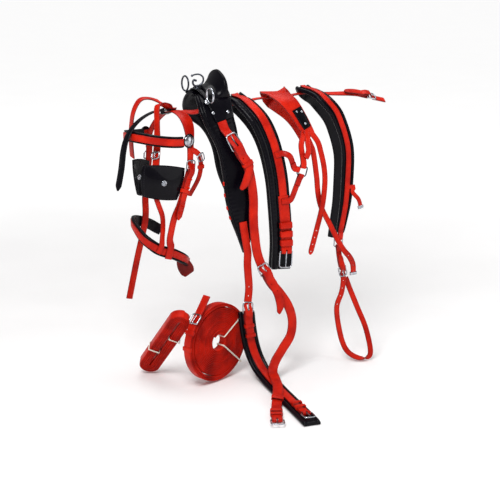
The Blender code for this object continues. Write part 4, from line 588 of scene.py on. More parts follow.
class Buckle:
    """A buckle's place on a route: the bar is at s_bar and the far side lies the given way along."""

    def __init__(self, route, s_bar, way, base, width, thick=LEATHER, length=BUCKLE_LENGTH, side=0.0):
        self.route, self.s_bar, self.way, self.base = route, s_bar, way, base
        self.width, self.thick, self.length, self.side = width, thick, length, side
        self.turn = BUCKLE_WIRE / 2 + 2 * GAP + thick
        self.level = base + self.turn

    def carrier_steps(self):
        """Steps of the end that is turned round the bar and laid back on itself."""
        top = self.base + 2 * self.thick + GAP
        arc = [(self.turn * math.cos(a), self.level + self.turn * math.sin(a))
               for a in np.radians(np.arange(-60, 91, 15))]
        back = [(-max(self.length * 0.4, self.turn * 1.9), top), (-self.length - OVERRUN, top)]
        steps = [(0, self.base)] + arc + back
        return [(self.s_bar + self.way * x, out) for x, out in steps]

    def carrier(self, start, other=None):
        first = other.carrier_steps()[::-1] if other else [(start, self.base)]
        return strip_mesh(self.route, first + self.carrier_steps(), self.width, self.thick, self.side, way=self.way)

    def cutter(self, ends, slack, stack):
        """A cutter for the tongue between two distances past the bar, with its slack in gaps."""
        ends = [self.s_bar + self.way * x for x in ends]
        return box_mesh(self.route, ends, TONGUE_THICK / 2 + slack * GAP, self.base - OVERRUN,
                        self.base + stack * self.turn + OVERRUN, self.side)

    def slot(self):
        return self.cutter((-BUCKLE_WIRE / 2 - 2 * GAP - TONGUE_THICK, self.turn + OVERRUN), 2, 2)

    def billet_hole(self):
        return self.cutter((self.turn, self.length * 0.75), 3, 3)

    def billet(self, start, tip, shape="round", first=None, drift=None, swell=None):
        """The strap that passes under the far side, over the bar and on to its tip."""
        over, rest = self.base + 2 * self.turn + GAP, self.base + 2 * (self.thick + GAP)
        marks = [(self.length + self.turn, self.base), (self.length - self.turn * 1.6, self.base), (self.turn, over),
                 (-self.turn * 0.8, over), (-self.length * 0.6, rest), (-tip, rest)]
        steps = (first or [(start, self.base)]) + [(self.s_bar + self.way * x, out) for x, out in marks]
        return strip_mesh(self.route, steps, self.width, self.thick, self.side, shape, -self.way, drift, swell)

    def keeper(self, distance, stack=3, length=KEEPER_LENGTH):
        low, high = self.base + KEEPER_WALL + GAP, self.base + stack * (self.thick + GAP)
        return keeper_mesh(self.route, self.s_bar - self.way * distance, self.width, low, high, self.side, length)

    def wire(self):
        """The buckle's wire loop, drawn a little flat."""
        half = self.width / 2 + BUCKLE_WIRE / 2 + 3 * GAP
        corners = []
        for far, sy, start in ((1, 1, 0), (0, 1, 90), (0, -1, 180), (1, -1, 270)):
            radius = 2 * BUCKLE_WIRE if far else 2 * BUCKLE_WIRE / 3
            turn = np.radians(np.linspace(start, start + 90, 9 if far else 5))
            corners.append(np.stack([(self.length - radius if far else radius) + radius * np.cos(turn),
                                     sy * (half - radius) + radius * np.sin(turn)], 1))
        x, y = np.vstack(corners).T
        points = self.route.read(self.s_bar + self.way * x, self.side + y, self.level)[0]
        return tube_mesh(points, BUCKLE_WIRE / 2, 14, closed=True)

    def tongue(self):
        """The tongue: a flat eye bent round the bar, and a pin that thins towards its rounded tip on the far side."""
        bar = self.route.at(self.s_bar, self.side, self.level)
        along = unit(self.route.at(self.s_bar + self.way * self.length, self.side, self.level) - bar)
        across = self.route.at(self.s_bar, self.side + 1, self.level) - bar
        across = unit(across - (across @ along) * along)
        out = np.cross(along, across) * self.way
        thick = TONGUE_THICK * 0.6
        mid = BUCKLE_WIRE / 2 + GAP / 2 + thick / 2
        eye = mid * spokes(np.radians(np.arange(310, 89, -15.0)), np.array((1, 0)), np.array((0, 1)))
        u = np.linspace(0.06, 1, 14)[:, None]
        path = np.vstack([eye, np.hstack([u * (self.length + BUCKLE_WIRE * 0.5), mid - thick * 0.18 * u ** 2])])
        tight = np.concatenate([np.ones(len(eye)), 1 - 0.45 * u[:, 0] ** 2])
        tight[-1], tight[0] = 0.25, 0.4
        way = units(np.gradient(path, axis=0))
        ring = np.radians(np.arange(0, 360, 30.0))[:, None]
        grid = []
        for (x, y), (wx, wy), t in zip(path, way, tight):
            c, w = thick / 2 * t * np.cos(ring), TONGUE_THICK / 2 * t * np.sin(ring)
            grid.append(bar + along * (x - wy * c) + out * (y + wx * c) + across * w)
        return skin(np.array(grid))

    def plate(self, prefix, hinged=False):
        """The buckle's own pieces: one, or two where its tongue is free to turn."""
        steel_piece(prefix + "_buckle", [self.wire()] + [self.tongue()] * (not hinged))
        if hinged:
            steel_piece(prefix + "_tongue", [self.tongue()], body=prefix + "_tongue")


def small_buckle(name, *settings):
    """A buckle that is sewn to its strap."""
    buckle = Buckle(*settings)
    add_piece(name, [buckle.wire(), buckle.tongue()], CHROME)


def smooth_pairs(pairs, each=4):
    """A closed outline through pairs: cubic spans with slopes from the neighbours on each side."""
    p = np.array(pairs, float)
    slopes = (np.roll(p, -1, 0) - np.roll(p, 1, 0)) / 2
    u = np.linspace(0, 1, each, endpoint=False)[None, :, None]
    after, bend = np.roll(p, -1, 0), np.roll(slopes, -1, 0)
    return span(u, p[:, None], after[:, None], slopes[:, None], bend[:, None]).reshape(-1, 2)


def pad_mesh(route, start, end, width, thick, section, out=0.0, swell=None, shift=None, pucker=0.02):
    """A stuffed strip: its section carried along a route, drawn in at its ends and puckered by its seams.

    The section is mirrored if it starts on the middle line. The pucker is a ripple of the heights along the run,
    strongest near the seam, with one wave a stitch pair.
    """
    if section[0][0] == 0:
        section = section + tuple((-x, h) for x, h in section[-2:0:-1])
    outline = smooth_pairs(section)
    near_end = np.array([0.0, 0.0004, 0.0012, 0.0024])
    s = np.unique(np.concatenate([np.arange(start + PAD_STEP, end - PAD_STEP / 2, PAD_STEP), start + near_end,
                                  end - near_end]))
    u = (s - start) / (end - start)
    drawn = rounded(np.clip(np.minimum(s - start, end - s) / (width / 3), 0.02, 1.0))
    half = width / 2 * (swell(u) if swell else 1.0) * (0.93 + 0.07 * drawn)
    middle = shift(u) if shift else np.zeros(len(s))
    ripple = 1 + pucker * np.sin(2 * math.pi * s / (2.6 * STITCH_PITCH))[:, None] * np.abs(outline[None, :, 0])
    x = middle[:, None] + half[:, None] * outline[None, :, 0]
    h = out + thick * outline[None, :, 1] * ripple * (0.55 + 0.45 * drawn)[:, None]
    points, across, outs = route.read(s)
    return skin(points[:, None] + x[:, :, None] * across[:, None] + h[:, :, None] * outs[:, None])


# The straps' lines over the rail, in millimetres: each from its top, or its root, to its end
SADDLE_NEAR_LINE = (
    (5, 0, 50), (4, -30, 44), (2, -58, 22), (6, -76, -10), (18, -90, -55), (28, -100, -110), (35, -110, -175),
    (40, -120, -240), (46, -127, -300), (54, -134, -366))
SADDLE_FAR_LINE = (
    (4, 30, 44), (4, 58, 22), (16, 80, -4), (60, 90, -40), (104, 94, -100), (128, 96, -164), (152, 96, -236),
    (170, 96, -312), (182, 96, -352))
TUG_LINE = (
    (24, -118, -55), (48, -127, -101), (67.2, -133, -137), (78.8, -138, -210), (74, -148.8, -266), (72.8, -156, -307),
    (82, -160.8, -376))
BILLET_LINE = ((54, -152, -394), (54, -155.2, -420), (56, -157, -465))
FAR_BILLET_LINE = ((188, 112, -380), (196, 114, -420))
COLLAR_LINE = (
    (0, 0, 27), (15, -35, 20), (45, -75, -20), (69, -90, -78), (84, -104, -155), (91, -110, -230), (96, -118, -341),
    (92, -120, -425))
UPPER_LEG_LINE = ((205, -121, -113),)
LOWER_LEG_LINE = ((212, -123, -224),)
HIP_LEG_LINE = ((255, -91, -65), (246, -100, -90))
HIP_LOOP_LINE = ((267, -97, -85), (265, -107, -105), (254, -115, -122))
HIP_LINE = ((10, 0, 42), (15, -20, 39), (28, -50, 21), (50, -70, -20), (73, -80, -65))
FRONT_STRAND_LINE = (
    (75, -84, -90), (83, -87, -115), (91, -93, -180), (95, -95, -225), (103, -100, -265), (116, -125, -305),
    (131, -146, -345), (147, -155, -376), (168, -155, -401), (183, -145, -426), (188, -138, -457))
REAR_STRAND_LINE = (
    (97, -84, -85), (104, -88, -110), (113, -93, -155), (113, -100, -200), (103, -108, -260), (85, -112, -326),
    (65, -115, -395))
BREECHING_LINE = (
    (0, 0, 44), (14, -30, 40), (30, -60, 27), (56, -80, -5), (72, -90, -45), (83.5, -97, -90), (87, -100, -129),
    (83, -106, -190), (76, -112, -255), (60, -118, -330), (54, -119, -350))
LOOP_LINE = (
    (57, -134, -415), (66, -132, -450), (70, -131, -475), (65, -131, -510), (50, -134, -555), (61, -140, -635),
    (80, -150, -682.5), (115, -165, -702.5), (143, -170, -690), (135, -155, -620), (115, -138, -560),
    (93, -126, -500), (82, -123, -470))
SIDE_STRAP_LINE = ((95, -125, -223), (112, -130, -245), (119, -131, -270))
BACK_LINE = (
    (62, 0, 16), (90, 0, 17), (125, 0, 21), (150, 0, 28), (200, 0, 31), (241, 0, 31.5), (300, 0, 38.5), (371, 0, 33),
    (442, 0, 30), (476, 0, 23), (543, 0, 7))
CROWN_LINE = (
    (-2, 84, -100), (2, 80, -58), (12, 60, -22), (20, 34, -2), (23, 0, 5), (21, -34, -3), (13, -62, -22),
    (4, -80, -52), (-1, -87, -90), (-6, -88, -135), (-19, -88, -172), (-30, -88, -200), (-42, -87, -230),
    (-59, -87, -258), (-68, -86, -285), (-75, -84, -320))
BEARING_LINE = ((-35, -14, 3), (-20, -22, 6))
THROAT_LINE = ((23, -91, -98), (29, -93, -115), (31, -91, -140), (28, -83, -170), (15, -62, -215))
FAR_CHEEK_LINE = (
    (-6, 80, -140), (-20, 75, -190), (-32, 66, -237), (-42, 57, -298), (-73, 61, -412), (-101, 61, -510))
BROWBAND_LINE = (
    (-30, -91, -62), (-70, -83, -58), (-105, -65, -52), (-123, -35, -48), (-131, 0, -46), (-123, 35, -48),
    (-103, 64, -53), (-70, 80, -57), (-30, 87, -60))
NOSEBAND_LINE = (
    (24, -50, -404), (-10, -72, -386), (-57, -80, -362), (-90, -77, -350), (-116, -64, -334), (-128, -35, -316),
    (-126, 0, -295), (-110, 35, -286), (-80, 63, -290), (-40, 76, -302), (-5, 79, -318), (20, 67, -334))
NEAR_BLINKER_LINE = ((-146, -60, -108), (-149, -60, -197))
FAR_BLINKER_LINE = ((-86, 56, -116), (-65, 62, -225))
STAY_NEAR_LINE = ((0, -1, 20), (-30, -7, 30), (-50, -15, 25), (-61, -27, -15), (-75, -42, -70), (-93, -57, -123))
STAY_FAR_LINE = (
    (-2, 2, 21.25), (-30, 7, 36), (-60, 12, 46), (-85, 15, 43), (-100, 22, 15), (-100, 33, -25), (-93, 44, -70),
    (-84, 52, -113))
FACE_DROP_LINE = (
    (-15, 0, 10.5), (-50, 0, 10.5), (-90, 0, -2), (-122, 0, -23), (-144, 0, -52), (-155, 0, -85), (-163, 0, -130),
    (-177, 0, -184))
NOSE_STRAP_LINE = ((-103, -62.5, -200), (-95, -65, -225), (-85, -67, -255), (-86, -70, -285), (-92, -73.5, -310))

# Lines that fall to the floor: millimetres to the side, and shares of the drop
BELLY_DROP = (
    (27.5, -12, 0.202), (56.5, -15, 0.315), (81.5, -19, 0.436), (91.5, -24, 0.558), (82.5, -34, 0.679),
    (53.5, -48, 0.776), (28.5, -60, 0.861), (14.5, -77, 0.927), (7.5, -114, 0.946), (-7.5, -172, 0.946),
    (-25.5, -217, 0.961), (-43.5, -257, 0.994), (-63.5, -307, 1.0), (-78.5, -352, 1.0))
GIRTH_DROP = (
    (-7.5, -7.5, 0.236), (-3.5, -9.5, 0.468), (4.5, -18.5, 0.7), (14.5, -44.5, 0.871), (24.5, -87.5, 0.974),
    (26.5, -162.5, 1.0), (25.5, -257.5, 1.0), (24.5, -382.5, 1.0))

# Sections of the stuffed pieces: (share of the half width, share of the thickness), the right half from the top
PANEL_SECTION = (
    (0, 1.0), (0.40, 1.0), (0.70, 0.99), (0.77, 0.94), (0.80, 0.82), (0.83, 0.92), (0.91, 0.96), (0.98, 0.74),
    (1.0, 0.42), (0.94, 0.10), (0.82, 0.0), (0.4, 0.0), (0, 0.0))
NARROW_PAD_SECTION = (
    (0, 0.96), (0.40, 0.96), (0.46, 0.84), (0.54, 1.0), (0.70, 1.16), (0.86, 1.08), (0.97, 0.74), (1.0, 0.42),
    (0.93, 0.08), (0.80, 0.0), (0.4, 0.0), (0, 0.0))
GIRTH_SECTION = (
    (0, 0.96), (0.47, 0.96), (0.53, 0.84), (0.62, 1.0), (0.78, 1.10), (0.9, 0.98), (0.98, 0.7), (1.0, 0.4),
    (0.93, 0.08), (0.8, 0.0), (0.4, 0.0), (0, 0.0))
BAND_SECTION = (
    (0, 0.96), (0.62, 0.96), (0.68, 0.88), (0.78, 1.22), (0.90, 1.18), (0.99, 0.75), (1.0, 0.4), (0.92, 0.06),
    (0.8, 0.0), (0.4, 0.0), (0, 0.0))
# The collar's section is not the same on both sides
COLLAR_SECTION = (
    (0.24, 0.97), (0.60, 0.97), (0.76, 0.95), (0.80, 0.88), (0.87, 1.06), (0.95, 0.94), (1.0, 0.45), (0.94, 0.08),
    (0.82, 0.0), (0.3, 0.0), (-0.3, 0.0), (-0.82, 0.0), (-0.94, 0.08), (-1.0, 0.45), (-0.96, 0.92), (-0.84, 1.24),
    (-0.64, 1.34), (-0.44, 1.16), (-0.33, 0.86), (-0.24, 0.96))

# Turned pieces: (radius, height) in shares of their own size
DOME = ((0.001, 0.34), (0.25, 0.33), (0.5, 0.28), (0.75, 0.18), (0.92, 0.07), (1.0, 0.0), (0.96, -0.04),
        (0.001, -0.04))
FOOT = ((0.001, 1.0), (0.2, 0.99), (0.36, 0.92), (0.4, 0.84), (0.42, 0.6), (0.46, 0.46), (0.62, 0.38), (0.84, 0.3),
        (0.95, 0.2), (1.0, 0.08), (1.0, 0.0), (0.001, 0.0))
ROSETTE_DOME = ((0.001, 0.44), (0.2, 0.43), (0.4, 0.395), (0.6, 0.33), (0.76, 0.24), (0.88, 0.14), (0.93, 0.09),
                (0.94, 0.05), (0.001, 0.05))
ROSETTE_DISC = ((0.001, 0.09), (0.90, 0.09), (1.02, 0.10), (1.10, 0.08), (1.13, 0.03), (1.12, -0.02), (0.001, -0.02))
RIVET = ((0.001, 0.22), (0.3, 0.20), (0.5, 0.12), (0.56, 0.06), (0.64, 0.10), (0.8, 0.14), (0.94, 0.10), (1.0, 0.0),
         (1.0, -0.06), (0.001, -0.06))

SADDLE = Route(ON_SADDLE.line(SADDLE_FAR_LINE[::-1] + SADDLE_NEAR_LINE), ON_SADDLE.way(TAILWARD))
SADDLE_TOP = SADDLE.top()
PANEL_THICK, PANEL_WIDTH, PANEL_SHIFT, GULLET_HALF = 0.014, 0.096, 0.005, 0.022
PANEL_TAPER = smooth_curve((
    (0, 0.94), (0.1, 1.0), (0.22, 0.88), (0.34, 0.7), (0.5, 0.74), (0.66, 0.85), (0.78, 0.72), (0.9, 0.42), (1, 0.17)))
PANEL_LEAN = smooth_curve(((0, 0), (0.35, 0), (0.6, 1), (0.88, 1), (1, 0.3)))
# The far panel is slimmer and leans towards its low end, as it shows under the near one
FAR_PANEL_SLIM = smooth_curve(((0, 0.0), (0.55, 0.0), (0.8, 1.0), (1.0, 1.0)))
SKIRT_LEVEL, SKIRT_REACH, SKIRT_WIDTH, SKIRT_SHIFT = PANEL_THICK + 2 * GAP, 0.102, 0.088, 0.012
SKIRT_TAPER = smooth_curve(((0, 0.64), (0.25, 0.84), (0.5, 1.0), (0.75, 0.84), (1, 0.64)))
SEAT_LEVEL = SKIRT_LEVEL + LEATHER + GAP
SEAT_HALF, SEAT_THICK, SEAT_FRONT, SEAT_REAR, CANTLE_HEIGHT = 0.044, 0.007, 0.018, 0.042, 0.040
CANTLE = smooth_curve((
    (0, 0.0), (0.3, 0.02), (0.5, 0.16), (0.68, 0.62), (0.8, 0.98), (0.87, 1.0), (0.94, 0.8), (1, 0.25)))


# Tabs of the billet's lining at the panel's front edge: places, and (distance along, distance in, radius) of one
TAB_PLACES = (0.556, 0.628, 0.706, 0.768)
TAB = ((-0.0058, 0.002, 0.0014), (-0.003, -0.0006, 0.0027), (0.003, -0.0006, 0.0027), (0.0058, 0.002, 0.0014))
PANEL_SEAM_SHARE = 0.80


def make_panels():
    """The two stuffed panels, with a flat middle, a sewn groove and a rolled rim, and four scarlet tabs."""
    start, end = SADDLE_TOP + GULLET_HALF, SADDLE.length
    for name, ends, swell, shift in (
            ("near_panel", (start, end), PANEL_TAPER, lambda u: PANEL_SHIFT * PANEL_LEAN(u)),
            ("far_panel", (0.0, SADDLE_TOP - GULLET_HALF),
             lambda u: PANEL_TAPER(1 - u) * (1 - 0.14 * FAR_PANEL_SLIM(u)), lambda u: 0.006 * FAR_PANEL_SLIM(u))):
        pad = pad_mesh(SADDLE, *ends, PANEL_WIDTH, PANEL_THICK, PANEL_SECTION, swell=swell, shift=shift)
        padded_piece(name, pad, BLACK_PATENT)

    def near_edge(u, share):
        return start + u * (end - start), PANEL_SHIFT * PANEL_LEAN(u) + share * PANEL_WIDTH / 2 * PANEL_TAPER(u)
    for sign in (-1, 1):
        u = np.linspace(0.06, 0.97, int((end - start) / STITCH_PITCH))
        seam(SADDLE, *near_edge(u, PANEL_SEAM_SHARE * sign), PANEL_THICK * 0.83)
    p, a, _ = SADDLE.read(*near_edge(np.array(TAB_PLACES), -1.0), PANEL_THICK * 0.6)
    tabs = [tube_mesh([q + w * along + x * away for along, away, _ in TAB], [r for _, _, r in TAB], 10)
            for q, w, x in zip(p, units(np.gradient(p, axis=0)), units(a))]
    add_piece("near_panel_lacing", tabs, SCARLET_STRAP)


def seat_surface(u, v, raised=1.0):
    """Points on the seat's top, or its flat base, at shares u from its front to its rear and v across, -1 to 1."""
    rim = rounded(np.clip(np.minimum(u, 1 - u) / 0.05, 0.12, 1))
    dome = np.maximum(1 - v * v, 0.0)
    rise = SEAT_THICK * rim * (0.25 + 0.75 * dome ** 0.5) + CANTLE_HEIGHT * np.maximum(CANTLE(u), 0) * dome ** 0.8
    side = -SEAT_FRONT + u * (SEAT_FRONT + SEAT_REAR)
    return SADDLE.read(SADDLE_TOP + v * SEAT_HALF, side, SEAT_LEVEL + rise * raised)[0]


def studs(name, route, size, level, spots):
    """Bright domed studs on a strap, at (distance, side)."""
    domes = [turned_mesh(DOME, route.at(s, side, level), route.axes(s)[2], 20, size) for s, side in spots]
    add_piece(name, domes, CHROME)


# Studs on the skirts: (distance from the top, side)
SKIRT_STUD = 0.0042
SKIRT_STUDS = ((0.079, -0.0155), (0.084, 0.0275), (0.020, 0.036), (-0.080, -0.0155), (-0.084, 0.0275))
PIPING_RADIUS, PIPING_PLACES, PIPING_REACH = 0.0013, (0.79, 0.93), 0.93
# The crupper loop: how far it stands back and to each side, its wire and how far round it goes
LOOP_BACK, LOOP_HALF, LOOP_WIRE, LOOP_TURN = 0.012, 0.009, 0.0024, math.radians(100)


def make_seat():
    """The skirts over the tree, the seat with its raised cantle, and the studs, piping and crupper loop on them."""
    skirt = ribbon(SADDLE, SADDLE_TOP - SKIRT_REACH, SADDLE_TOP + SKIRT_REACH, SKIRT_WIDTH, LEATHER, SKIRT_LEVEL,
                   SKIRT_SHIFT, swell=SKIRT_TAPER, colour="black")
    leather_piece("saddle_skirt", [skirt], (), BLACK_PATENT, BLACK_PAD)
    vs = np.sin(np.linspace(-math.pi / 2, math.pi / 2, 45))
    grid = [np.vstack([seat_surface(np.full(45, u), vs), seat_surface(np.full(45, u), vs, 0.0)[::-1]])
            for u in (1 - np.cos(np.linspace(0, math.pi, 44))) / 2]
    padded_piece("saddle_seat", skin(np.array(grid)), BLACK_PATENT)
    line = np.linspace(-PIPING_REACH, PIPING_REACH, 60)
    pipes = [tube_mesh(seat_surface(np.full(60, u), line), PIPING_RADIUS, 8) for u in PIPING_PLACES]
    add_piece("cantle_piping", pipes, BLACK_PATENT)
    spots = [(SADDLE_TOP + s, side) for s, side in SKIRT_STUDS]
    studs("skirt_studs", SADDLE, SKIRT_STUD, SKIRT_LEVEL + LEATHER, spots)
    axis = ON_SADDLE.way(TAILWARD)
    across = np.cross(SADDLE.axes(SADDLE_TOP)[2], axis)
    back = SADDLE.at(SADDLE_TOP, SEAT_REAR - 0.004, SEAT_LEVEL + 0.004) + axis * 0.004
    loop = back + spokes(np.linspace(-LOOP_TURN, LOOP_TURN, 25), axis * LOOP_BACK, across * LOOP_HALF)
    add_piece("crupper_loop", [tube_mesh(loop, LOOP_WIRE)], BLACK_PAD)


TERRET_RING, TERRET_WIRE, TERRET_PLACE, TERRET_SIDE, TERRET_BASE = 0.040, 0.0042, 0.054, -0.024, 0.0072
HOOK_REACH, HOOK_SIDE, HOOK_BALL = 0.036, -0.028, 0.0034
HOOK_SHARES = (
    (-0.05, 0.5), (-0.26, 0.56), (-0.34, 0.36), (-0.22, 0.16), (0.0, 0.08), (0.3, 0.2), (0.5, 0.44),
    (0.46, 0.76), (0.18, 0.96), (-0.14, 0.98), (-0.42, 0.9))


def make_fittings():
    """The terrets with their turned feet, and the bearing rein's hook with its ball end."""
    # The far terret takes the darker plate: painted shade on one of a matched pair
    for name, s, finish in (("near_terret", SADDLE_TOP + TERRET_PLACE, CHROME),
                            ("far_terret", SADDLE_TOP - TERRET_PLACE, DARK_PLATE_AND_SHADE)):
        along, _, out = SADDLE.axes(s)
        foot = SADDLE.at(s, TERRET_SIDE, SEAT_LEVEL)
        centre = foot + out * (TERRET_RING / 2 + TERRET_WIRE * 1.6)
        ring = tube_mesh(centre + TERRET_RING / 2 * spokes(full_turn(56), along, out), TERRET_WIRE * 0.62, 18, True)
        steel_piece(name, [turned_mesh(FOOT, foot, out, 32, TERRET_BASE), ring], finish)
    foot = SADDLE.at(SADDLE_TOP, HOOK_SIDE, SEAT_LEVEL)
    along, across, out = SADDLE.axes(SADDLE_TOP)
    line = Route([foot + HOOK_REACH * (across * x + out * (h + 0.06)) for x, h in HOOK_SHARES], along,
                 HOOK_REACH / 8).rows[:, :3]
    hook = tube_mesh(line, TERRET_WIRE * 0.62 * (1.15 - 0.35 * np.linspace(0, 1, len(line))), 16)
    sphere = [(math.sin(a), -math.cos(a)) for a in np.linspace(0.02, math.pi - 0.02, 14)]
    ball = turned_mesh(sphere, line[-1], line[-1] - line[-2], 20, HOOK_BALL)
    steel_piece("rein_hook", [turned_mesh(FOOT, foot, out, 32, TERRET_BASE), hook, ball], DARK_PLATE_AND_SHADE)


# Tug straps: the backband comes from under the skirt and buckles to the strap that bears the shaft, whose end is
# buckled to the belly band. The belly band runs down over the girth to the floor.
TUG_BUCKLE_LENGTH, TUG_BAR_PLACE, TUG_TIP, TUG_TIP_DRIFT = 0.040, 0.084, 0.115, 0.034
BELLY_BAR_SHARE, BELLY_LIFT, BELLY_TIP, BELLY_TIP_HELD, BELLY_TIP_DRIFT = 0.148, 0.004, 0.118, 0.030, 0.036
FAR_TUG_REACH = 0.26
# Holes past each bar, and the belly band's loops: (distance before its end, length)
TUG_HOLES, BELLY_HOLES, HOLES_SIDE = (0.030, 0.092), (0.030, 0.055, 0.080), -0.004
BELLY_LOOPS = ((0.036, 0.011), (0.058, 0.012), (0.128, 0.014))


def drifting(reach, held, free, power):
    """How far a loose tip swings to the side past the place where it is held."""
    return lambda s: reach * np.maximum(0.0, (s - held) / free) ** power


def make_near_tug():
    points = [SADDLE.at(SADDLE_TOP + SKIRT_REACH + s, 0.0, SKIRT_LEVEL + level)
              for s, level in ((3 * GAP, GAP), (STATION_STEP, 2 * GAP))] + ON_SADDLE.line(TUG_LINE)
    tug_end, floor = points[-1], BELLY_LIFT - FLOOR_DEPTH
    route = Route(points + dropped(tug_end, floor, BELLY_DROP), ON_SADDLE.way(TAILWARD))
    tug = Buckle(route, TUG_BAR_PLACE, -1, 0.0, WIDE_STRAP, length=TUG_BUCKLE_LENGTH)
    belly_bar = route.passing(tug_end[2] + BELLY_BAR_SHARE * (floor - tug_end[2]))
    belly = Buckle(route, belly_bar, -1, 0.0, WIDE_STRAP)
    end = Buckle(route, route.length, 1, 0.0, WIDE_STRAP)
    held = TUG_BUCKLE_LENGTH + 2 * KEEPER_LENGTH
    backband = tug.billet(0.0, TUG_TIP, drift=drifting(-TUG_TIP_DRIFT, tug.s_bar + held, TUG_TIP - held, 1.1))
    holes = punched(route, [tug.s_bar + x for x in TUG_HOLES], HOLES_SIDE)
    leather_piece("near_backband", [backband], [tug.billet_hole()] + holes)
    strap = belly.billet(0.0, BELLY_TIP, "point", tug.carrier_steps()[::-1],
                         drifting(-BELLY_TIP_DRIFT, belly_bar + BELLY_TIP_HELD, BELLY_TIP - BELLY_TIP_HELD, 1.5))
    holes = punched(route, [belly_bar + x for x in BELLY_HOLES], HOLES_SIDE)
    leather_piece("near_tug_strap", [strap, tug.keeper(TUG_BUCKLE_LENGTH + KEEPER_LENGTH)],
                  [tug.slot(), belly.billet_hole()] + holes)
    tug.plate("near_tug")
    loops = [end.keeper(distance, 2.4, length) for distance, length in BELLY_LOOPS]
    leather_piece("belly_band", [end.carrier(0.0, belly)] + loops, [belly.slot(), end.slot()])
    belly.plate("belly_band")
    end.plate("belly_band_end")


def make_far_tug():
    start = SADDLE_TOP - SKIRT_REACH - 5 * GAP
    route = Route([SADDLE.at(start - d, 0.0, SKIRT_LEVEL + GAP) for d in np.arange(0.0, FAR_TUG_REACH, STATION_STEP)],
                  ON_SADDLE.way(-TAILWARD))
    tug = Buckle(route, TUG_BAR_PLACE, -1, 0.0, WIDE_STRAP, length=TUG_BUCKLE_LENGTH)
    leather_piece("far_backband", [tug.billet(0.0, TUG_TIP)], [tug.billet_hole()])
    leather_piece("far_tug_strap", [tug.carrier(route.length), tug.keeper(TUG_BUCKLE_LENGTH + KEEPER_LENGTH)],
                  [tug.slot()])
    tug.plate("far_tug")


# Girth: it is buckled to a billet that comes from the near panel, hangs to the floor and lies along it
BILLET_PLACE, BILLET_SIDE = 0.085, 0.002
GIRTH_BAR_SHARE, GIRTH_TIP, GIRTH_END_PAD, GIRTH_PAD_WIDTH, GIRTH_PAD_THICK = 0.27, 0.075, 0.012, 0.048, 0.010
GIRTH_HOLES, GIRTH_SEAM_SHARE = (0.045, 0.070), 0.55


def make_girth():
    start = [SADDLE.at(SADDLE.length - BILLET_PLACE * share, BILLET_SIDE, PANEL_THICK + 5 * GAP)
             for share in (1.0, 0.75, 0.5, 0.25, 0.0)]
    points = start + ON_SADDLE.line(BILLET_LINE)
    floor, drop = GIRTH_PAD_THICK + 5 * GAP - FLOOR_DEPTH, points[-1][2]
    route = Route(points + dropped(points[-1], floor, GIRTH_DROP))
    top = Buckle(route, route.passing(drop + GIRTH_BAR_SHARE * (floor - drop)), -1, 0.0, STRAP)
    end = Buckle(route, route.length - BUCKLE_LENGTH, 1, 0.0, STRAP)
    leather_piece("near_girth_billet", [top.billet(0.0, GIRTH_TIP)],
                  [top.billet_hole()] + punched(route, [top.s_bar - x for x in GIRTH_HOLES]))
    keepers = [buckle.keeper(k * BUCKLE_LENGTH + x) for buckle, k, x in (
        (top, 1, KEEPER_LENGTH), (top, 2, KEEPER_LENGTH), (end, 1, KEEPER_LENGTH), (end, 2.3, 0))]
    leather_piece("girth_strap", [end.carrier(0.0, top)] + keepers, [top.slot(), end.slot()])
    pad = pad_mesh(route, top.s_bar, route.length + GIRTH_END_PAD, GIRTH_PAD_WIDTH, GIRTH_PAD_THICK, GIRTH_SECTION,
                   -GIRTH_PAD_THICK - GAP)
    padded_piece("girth_pad", pad)
    for sign in (-1, 1):
        seam(route, spaced(top.s_bar + 0.006, route.length), sign * GIRTH_PAD_WIDTH / 2 * GIRTH_SEAM_SHARE,
             -GAP - GIRTH_PAD_THICK * 0.14)
    top.plate("girth")
    end.plate("girth_end", hinged=True)
    far = Route([SADDLE.at(s, 0.0, PANEL_THICK + GAP) for s in (BILLET_PLACE, BILLET_PLACE / 2)]
                + ON_SADDLE.line(FAR_BILLET_LINE), ON_SADDLE.way(-TAILWARD))
    leather_piece("far_girth_billet", [whole(far, STRAP, LEATHER, last="round")],
                  punched(far, np.arange(far.length - 0.10, far.length - 0.01, 0.02)))


# Pieces that are thrown over the rail. The far half lies back along the rail and lower than the near half.
LIE_BACK, FAR_SHARE, CREST_CLEAR, CREST_TURN = vec(0.363, 1.0, -0.285), 1.4, 0.012, vec(0.005, 0.018, 0.0)
COLLAR_PLACE, HIP_PLACE, BREECHING_PLACE = 88, 205, 296


def draped(table, place):
    """A route over the rail: the far half mirrors the near half, slid back along the rail and down."""
    near = ON_RAIL.line(table, place)
    far = [near[0] + CREST_TURN] + [p + (FAR_SHARE * abs(p[1]) + CREST_CLEAR) * LIE_BACK for p in near[1:]]
    return Route(far[::-1] + near)


# Breast collar
COLLAR_PAD_WIDTH, COLLAR_PAD_THICK, COLLAR_STRAP_SIDE = 0.058, 0.011, 0.007
TRACE_STRAP, TRACE_BUCKLE_LENGTH, TRACE_START, TRACE_BAR_PLACE = 0.030, 0.044, 0.205, 0.052
WIDE_KEEPER_PLACES, WIDE_KEEPER_LENGTH = (0.024, 0.048, 0.072), 0.0164


